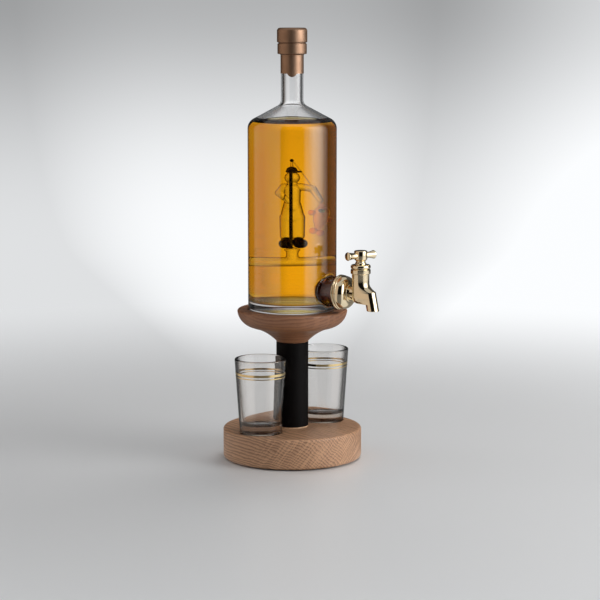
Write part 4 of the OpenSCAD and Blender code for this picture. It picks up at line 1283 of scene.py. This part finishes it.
# %% Capsule outlines
cap_low, cap_high = box_mm("capsule_top")
skirt_low, skirt_high = box_mm("capsule_skirt")
FOIL = 0.35
FOIL_HOLE = BORE_R + 0.6
CUP_CORNER = 2.9
CUP_ROLL = 1.0
CUP_PITCH = 2.5
SLEEVE_PITCH = 1.0
BAND_PITCH = 2.0
SKIRT_ROUND = 0.9
GROOVE = 1.0
TAB_TURN = math.radians(33 - 90)
TAB_HALF = 4.2
TAB_DROP = 3.0
TAB_FADE = 3.0
SKIRT_HEM = skirt_low.z + TAB_DROP


def cup_outline():
    """A thin cup with a rolled edge, over the head of the stopper."""
    radius = cap_high.x
    top = cap_high.z
    low = cap_low.z - 0.5
    corner_r = radius - CUP_CORNER
    corner_z = top - CUP_CORNER
    return ([(FOIL_HOLE, low + FOIL), (FOIL_HOLE, low)]
            + arc(radius - CUP_ROLL, low + CUP_ROLL, CUP_ROLL, -90, 0, 8)
            + straight((radius, low + CUP_ROLL), (radius, corner_z), CUP_PITCH)
            + arc(corner_r, corner_z, CUP_CORNER, 0, 90, 12) + [(0, top), (0, top - FOIL)]
            + arc(corner_r, corner_z, CUP_CORNER - FOIL, 90, 0, 12)
            + [(radius - FOIL, low + FOIL), (FOIL_HOLE, low + FOIL)])


def skirt_outline():
    """A band around the ring of the mouth, a step, and a sleeve down the neck."""
    band = skirt_high.x
    sleeve = NECK_R + 0.03 + FOIL
    step_z = FOOT + MOUTH - RING_H - FOIL
    lip = FOOT + MOUTH + 0.15
    collar = cap_low.z - 0.6
    under_step = step_z - SKIRT_ROUND
    over_step = step_z + SKIRT_ROUND
    under_lip = lip - SKIRT_ROUND
    outside = ([(sleeve, SKIRT_HEM)] + straight((sleeve, SKIRT_HEM), (sleeve, under_step), SLEEVE_PITCH)
               + arc(sleeve + SKIRT_ROUND, under_step, SKIRT_ROUND, 180, 90, 6)
               + arc(band - SKIRT_ROUND, over_step, SKIRT_ROUND, -90, 0, 6)
               + straight((band, over_step), (band, under_lip), BAND_PITCH)
               + arc(band - SKIRT_ROUND, under_lip, SKIRT_ROUND, 0, 90, 6)
               + [(band - GROOVE, lip), (band - GROOVE, collar), (FOIL_HOLE, collar)])
    inside = [(FOIL_HOLE, lip - 0.1), (RING_R - 1.0, lip - 0.1), (band - FOIL, lip - 1.2),
              (band - FOIL, over_step), (sleeve - FOIL + 1.2, step_z + 0.2), (sleeve - FOIL, step_z - 1.2),
              (sleeve - FOIL, SKIRT_HEM)]
    return outside + inside + [outside[0]]


# %% Capsule
TAB_TURNS = 256


def dip_tab(obj):
    """Lower the hem where the tear tab is."""
    for vertex in obj.data.vertices:
        across = math.remainder(math.atan2(vertex.co.y, vertex.co.x) - TAB_TURN, 2 * math.pi) * NECK_R
        if abs(across) < TAB_HALF and vertex.co.z < SKIRT_HEM + TAB_FADE:
            depth = TAB_DROP * math.cos(across / TAB_HALF * math.pi / 2) ** 0.7
            vertex.co.z -= depth * max(0.0, 1 - (vertex.co.z - SKIRT_HEM) / TAB_FADE)


copper_top = turned("copper_top", cup_outline(), COPPER, FINE_TURNS, None, SOFT_EDGE)
hand_over(copper_top, "stopper", ["capsule_top"])
copper_skirt = turned("copper_skirt", skirt_outline(), COPPER, TAB_TURNS, None, SOFT_EDGE)
dip_tab(copper_skirt)
hand_over(copper_skirt, "bottle", ["capsule_skirt"])

# %% [markdown]
# ## The dish
# The dish is one turned oak bowl: a hollow curve out of the column, a round belly and a soft lip. Its
# two arcs meet where they have the same slope, which is what makes the line run through.

# %% Dish
DISH_FOOT = 14.0
COVE_R = 48.0
COVE_STEEP = 47
COVE_FLAT = 14
DISH_R = 50.0
LIP = 2.0
SEAT_R = BODY_R + 0.6
SEAT = 2.0
TENON_R = 9.02
TENON = 9.5
SCREW_HOLE = 4.5
SEAT_EDGE = 0.4


def dish_outline():
    """The skin from the tenon hole out over the cove and the rim, into the seat and back down."""
    steep = math.radians(COVE_STEEP)
    flat = math.radians(COVE_FLAT)
    cove_x = DISH_FOOT + COVE_R * math.sin(steep)
    cove_z = -COVE_R * math.cos(steep)
    cove = arc(cove_x, cove_z, COVE_R, 90 + COVE_STEEP, 90 + COVE_FLAT, 28)
    rim_r = (DISH_R - cove[-1][0]) / (1 - math.sin(flat))
    rim_x = DISH_R - rim_r
    rim_z = cove[-1][1] + rim_r * math.cos(flat)
    end = math.degrees(math.asin(-LIP / rim_r))
    rim = arc(rim_x, rim_z, rim_r, COVE_FLAT - 90, end, 28)
    lip = arc(rim[-1][0] - LIP, rim_z - LIP, LIP, 0, 90, 10)
    seat = [(SEAT_R + SEAT_EDGE, rim_z), (SEAT_R, rim_z - SEAT_EDGE), (SEAT_R, rim_z - SEAT),
            (SCREW_HOLE, rim_z - SEAT)]
    hole = [(SCREW_HOLE, TENON), (TENON_R, TENON), (TENON_R, 0.0)]
    return [(TENON_R, 0.0)] + cove + rim[1:] + lip + seat + hole


at_dish = Matrix.Translation((0, 0, box_mm("dish")[0].z))
dish = turned("oak_dish", dish_outline(), DISH_OAK_SHADED, FINE_TURNS, at_dish, SOFT_EDGE)
hand_over(dish, "stand", ["dish"])

# %% [markdown]
# ## The shot glasses
# Both glasses are pressed glass with a thick floor and two gold rings that are printed on and fired.
# One outline makes both.

# %% Shot glass outlines
GLASS_WALL = 2.0
GLASS_FLOOR = 9.0
GLASS_HEEL = 1.6
GLASS_CURVE = 5.0
GLASS_PITCH = 3.0
FOOT_R = 19.0
FOOT_HOLLOW = 0.8
BAND_DROP = 12.0
BANDS = ((0.0, 2.2), (3.6, 0.9))
GOLD_T = 0.12
CLEAR = 0.02
LIP_R = 1.2
LIP_BLEND = 2.88
CREASE = 0.15


def glass_radius(z, height, rim):
    """Outside radius of a glass at height z."""
    return FOOT_R + (rim - FOOT_R) * z / height


def glass_outline(height, rim):
    """The foot, up the outside, over the lip and down the inside."""
    inner = glass_radius(GLASS_FLOOR, height, rim) - GLASS_WALL - 0.6
    floor_edge = GLASS_FLOOR + GLASS_CURVE
    return ([(0, FOOT_HOLLOW), (FOOT_R - 5, FOOT_HOLLOW), (FOOT_R - 4.4, 0.5), (FOOT_R - 4, 0.0)]
            + arc(FOOT_R - GLASS_HEEL, GLASS_HEEL, GLASS_HEEL, -90, 0)
            + straight((FOOT_R, GLASS_HEEL), (rim, height - LIP_R - CREASE), GLASS_PITCH)
            + arc(rim - LIP_R, height - LIP_R, LIP_R, 0, 180)
            + straight((rim - GLASS_WALL, height - LIP_BLEND), (inner, floor_edge), GLASS_PITCH)
            + arc(inner - GLASS_CURVE, floor_edge, GLASS_CURVE, 0, -90) + [(0, GLASS_FLOOR)])


def band_outline(low, high, height, rim):
    """A thin ring of gold on the outside."""
    inside = [(glass_radius(z, height, rim) + CLEAR, z) for z in (low, high)]
    outside = [(r + GOLD_T, z) for r, z in inside]
    return [inside[0], outside[0], outside[1], inside[1], inside[0]]


# %% Shot glasses
for side in ("left", "right"):
    body = side + "_shot_glass"
    low, high = box_mm(side + "_glass")
    centre = Matrix.Translation(((low.x + high.x) / 2, (low.y + high.y) / 2, low.z))
    height = high.z - low.z
    rim = (high.x - low.x) / 2
    tumbler = turned(side + "_tumbler", glass_outline(height, rim), TUMBLER_GLASS, TURNS, centre)
    hand_over(tumbler, body, [side + "_glass"])
    tops = [(height - BAND_DROP - drop, width) for drop, width in BANDS]
    rings = [turned("ring", band_outline(top - width, top, height, rim), GOLD_PRINT, TURNS, centre)
             for top, width in tops]
    hand_over(joined(side + "_gold_rings", rings, GOLD_PRINT), body, [side + "_gold_bands"])

# %% [markdown]
# ## CAD pieces that stay
# A CAD piece whose shape is already right keeps its mesh and only gets a finish.

# %% Finishes on CAD pieces
KEPT = {
    "base_disc": BASE_OAK, "column": COLUMN_OAK, "column_label": LABEL, "base_felt": FELT,
    "base_screw": STEEL, "dish_screw": STEEL, "stop_pin": STEEL, "hub_grub_screw": STEEL,
    "tail_nut": GOLD, "valve_plug": GOLD, "branch_bung": RUBBER, "rose_gasket": RUBBER,
    "gland_packing": RUBBER, "plug_o_rings": RUBBER, "stopper_cork": CORK, "stopper_head": STOPPER,
}
for node, finish in KEPT.items():
    for slot in frame["nodes"][node].material_slots:
        slot.material = finish
print("CAD pieces with a finish:", len(KEPT))

# %% [markdown]
# ## Studio
# A pale sweep runs from the floor up into a round wall, so every view has a background. Close to the
# object it is a plain floor that takes the shadow. Further out it glows, and how brightly depends on the
# ray, as on a set with flags and reflectors. The camera sees it pale all round. Bent rays find it bright
# behind the object and dark on both sides of that, which gives glass its dark edges. Mirrored rays find
# a tan panel on the left and a white one on the right.

# %% Sweep
SWEEP_R = 2600.0
SWEEP_BEND = 1100.0
SWEEP_TOP = 3000.0
FLOOR_GAP = 0.1
bend = arc(SWEEP_R - SWEEP_BEND, SWEEP_BEND, SWEEP_BEND, -90, 0, 24)
sweep_outline = [(0, 0), (300, 0), (800, 0)] + bend + [(SWEEP_R, SWEEP_TOP)]
under_felt = Matrix.Translation((0, 0, -FLOOR_GAP))
sweep = turned("sweep", sweep_outline, CLEAR_GLASS, SMALL_TURNS, under_felt, MELTED_EDGE)
sweep.data.transform(Matrix.Scale(MM, 4))
print("sweep: faces", len(sweep.data.polygons))

# %% Rays and panels
WALL_PAINT = (0.76, 0.765, 0.77, 1)
COOL = (0.97, 0.985, 1.0, 1)
WARM = (1.0, 0.8, 0.66, 1)
TAN = (1.0, 0.85, 0.73, 1)
# A panel has a bearing and two half widths in degrees: where it has faded out and where it is full.
FRONT_PANEL = (0, 100, 75)
WHITE_PANEL = (68, 40, 28)
CORNER_PANEL = (140, 34, 18)
TAN_PANEL = (-74, 46, 38)


def sort_rays(tree):
    """Masks for rays straight from the camera, mirrored, mirrored off an outer skin, and only bent."""
    path = add(tree, "ShaderNodeLightPath").outputs
    mirrored = calc(tree, "MULTIPLY", calc(tree, "GREATER_THAN", path["Glossy Depth"], 0.5),
                    calc(tree, "SUBTRACT", 1.0, path["Is Diffuse Ray"]))
    outer = calc(tree, "MULTIPLY", mirrored, calc(tree, "LESS_THAN", path["Transmission Depth"], 1.5))
    bent = calc(tree, "MULTIPLY", path["Is Transmission Ray"], calc(tree, "SUBTRACT", 1.0, mirrored))
    return {"straight": path["Is Camera Ray"], "mirrored": mirrored, "outer": outer, "bent": bent}


def pick(tree, mask, off, on):
    """One value where a mask is off, another where it is on."""
    return calc(tree, "MULTIPLY_ADD", mask, on - off, off)


def panel(tree, axes, reach, degrees, wide, narrow):
    """How near a point of the wall is to a bearing from the photograph's side, as a smooth step."""
    angle = math.radians(degrees)
    along = calc(tree, "SUBTRACT", calc(tree, "MULTIPLY", axes["X"], math.sin(angle)),
                 calc(tree, "MULTIPLY", axes["Y"], math.cos(angle)))
    edges = [math.cos(math.radians(half)) for half in (wide, narrow)]
    return remap(tree, calc(tree, "DIVIDE", along, reach), *edges)


# %% Glow of the sweep
# A pair is the glow for other rays and for mirrored ones, at the back for those off an outer skin.
BASE_GLOW = (0.05, 0.005)
BACK_GLOW = (0.95, 0.12)
CORNER_GLOW = (0.43, 0.08)
STRAIGHT_GLOW = 0.75
FRONT_GLOW = 0.7
WHITE_GLOW = 0.75
TAN_GLOW = 0.58
BACK_SHIFT = 0.055
BACK_EDGES = (0.46, 0.046)


def sweep_light(tree, axes, reach, rays, tan):
    """How brightly the wall glows for each kind of ray. One is white."""
    across = calc(tree, "DIVIDE", axes["X"], reach)
    aside = calc(tree, "ABSOLUTE", calc(tree, "ADD", across, BACK_SHIFT))
    back = calc(tree, "MULTIPLY", remap(tree, aside, *BACK_EDGES), remap(tree, axes["Y"], -0.2, 0.4))
    front = calc(tree, "MULTIPLY", panel(tree, axes, reach, *FRONT_PANEL),
                 calc(tree, "MULTIPLY", rays["bent"], FRONT_GLOW))
    back = calc(tree, "MAXIMUM", back, calc(tree, "MULTIPLY_ADD", rays["straight"], STRAIGHT_GLOW, front))
    back = calc(tree, "MULTIPLY", back, remap(tree, axes["Z"], 0.0, 0.45, 1.0, 0.42))
    base = pick(tree, rays["mirrored"], *BASE_GLOW)
    light = calc(tree, "MULTIPLY_ADD", back, pick(tree, rays["outer"], *BACK_GLOW), base)
    corner = pick(tree, rays["mirrored"], *CORNER_GLOW)
    light = calc(tree, "MULTIPLY_ADD", panel(tree, axes, reach, *CORNER_PANEL), corner, light)
    white = calc(tree, "MULTIPLY", panel(tree, axes, reach, *WHITE_PANEL), rays["mirrored"])
    light = calc(tree, "MULTIPLY_ADD", tan, TAN_GLOW, light)
    light = calc(tree, "MULTIPLY_ADD", white, WHITE_GLOW, light)
    return calc(tree, "MINIMUM", light, 1.0)


def sweep_tint(tree, axes, reach, bent, tan):
    """Cool white, warm low on the right for bent rays, tan in the left panel."""
    across = calc(tree, "DIVIDE", axes["X"], reach)
    low = calc(tree, "MULTIPLY", remap(tree, across, 0.15, 0.45), remap(tree, axes["Z"], 0.22, 0.1))
    tint = blend(tree, calc(tree, "MULTIPLY", bent, low), COOL, WARM)
    return blend(tree, tan, tint, TAN)


def sweep_share(tree, reach, rays):
    """How much of the glow shows. Near the object the plain floor takes over."""
    either = calc(tree, "MAXIMUM", rays["mirrored"], rays["bent"])
    either = calc(tree, "MULTIPLY", either, remap(tree, reach, 0.3, 1.3))
    share = calc(tree, "MULTIPLY_ADD", rays["straight"], remap(tree, reach, 0.25, 1.0), either)
    return calc(tree, "MAXIMUM", share, calc(tree, "MULTIPLY", rays["mirrored"], 0.7))


# %% Finish of the sweep


def sweep_finish():
    """Pale floor that takes shadows, with the glow further out."""
    material, tree, _, place = new_finish("sweep", Base_Color=WALL_PAINT, Roughness=0.4)
    seen_from = add(tree, "ShaderNodeMapping", {"Vector": place, "Rotation": (0, 0, -AZIMUTH)}).outputs[0]
    axes = add(tree, "ShaderNodeSeparateXYZ", {"Vector": seen_from}).outputs
    reach = calc(tree, "MAXIMUM", flat_length(tree, axes["X"], axes["Y"]), MM)
    rays = sort_rays(tree)
    tan = calc(tree, "MULTIPLY", panel(tree, axes, reach, *TAN_PANEL), rays["mirrored"])
    glow = add(tree, "ShaderNodeEmission", {"Color": sweep_tint(tree, axes, reach, rays["bent"], tan),
                                            "Strength": sweep_light(tree, axes, reach, rays, tan)})
    mixed = add(tree, "ShaderNodeMixShader")
    feed(tree, sweep_share(tree, reach, rays), mixed.inputs[0])
    feed(tree, tree.nodes["Principled BSDF"].outputs[0], mixed.inputs[1])
    feed(tree, glow.outputs[0], mixed.inputs[2])
    feed(tree, mixed.outputs[0], tree.nodes["Material Output"].inputs["Surface"])
    return material


paint(sweep, sweep_finish())
print("sweep: nodes", len(sweep.data.materials[0].node_tree.nodes))

# %% Lamps
AIM = Vector((0, 0, 0.19))


def soften(tree):
    """Let a lamp fade towards its edges."""
    where = add(tree, "ShaderNodeNewGeometry").outputs["Parametric"]
    axes = add(tree, "ShaderNodeSeparateXYZ", {"Vector": where}).outputs
    off_middle = [calc(tree, "ABSOLUTE", calc(tree, "SUBTRACT", axes[a], 0.5)) for a in "XY"]
    fades = [remap(tree, off, 0.5, 0.1) for off in off_middle]
    feed(tree, calc(tree, "MULTIPLY", *fades), tree.nodes["Emission"].inputs["Strength"])


def softbox(name, degrees, distance, height, size, power):
    """An area lamp at a bearing from the photograph's side, aimed at the middle of the object."""
    lamp = bpy.data.lights.new(name, "AREA")
    lamp.shape = "RECTANGLE"
    lamp.size, lamp.size_y = size
    lamp.energy = power
    lamp.use_nodes = True
    soften(lamp.node_tree)
    angle = AZIMUTH + math.radians(degrees)
    obj = link_object(name, lamp)
    obj.visible_transmission = False
    obj.location = (math.sin(angle) * distance, -math.cos(angle) * distance, height)
    obj.rotation_euler = (AIM - obj.location).to_track_quat("-Z", "Y").to_euler()
    return obj


softbox("right_softbox", degrees=66, distance=1.1, height=0.5, size=(1.2, 1.3), power=22.0)
left = softbox("left_softbox", degrees=-105, distance=1.5, height=0.7, size=(0.6, 1.0), power=4.5)
top = softbox("top_softbox", degrees=150, distance=0.7, height=1.3, size=(1.1, 1.1), power=16.0)
for lamp in (left, top):
    lamp.visible_glossy = False

# %% World and bounces
# Light crosses many skins of glass and liquid, so it needs many bounces.
BOUNCES = 32
world = bpy.data.worlds.new("studio")
world.use_nodes = True
world.node_tree.nodes["Background"].inputs["Color"].default_value = (0.5, 0.5, 0.5, 1)
bpy.context.scene.world = world
cycles = bpy.context.scene.cycles
cycles.max_bounces = BOUNCES
cycles.transmission_bounces = BOUNCES
cycles.transparent_max_bounces = 16
print("bounces:", cycles.max_bounces)
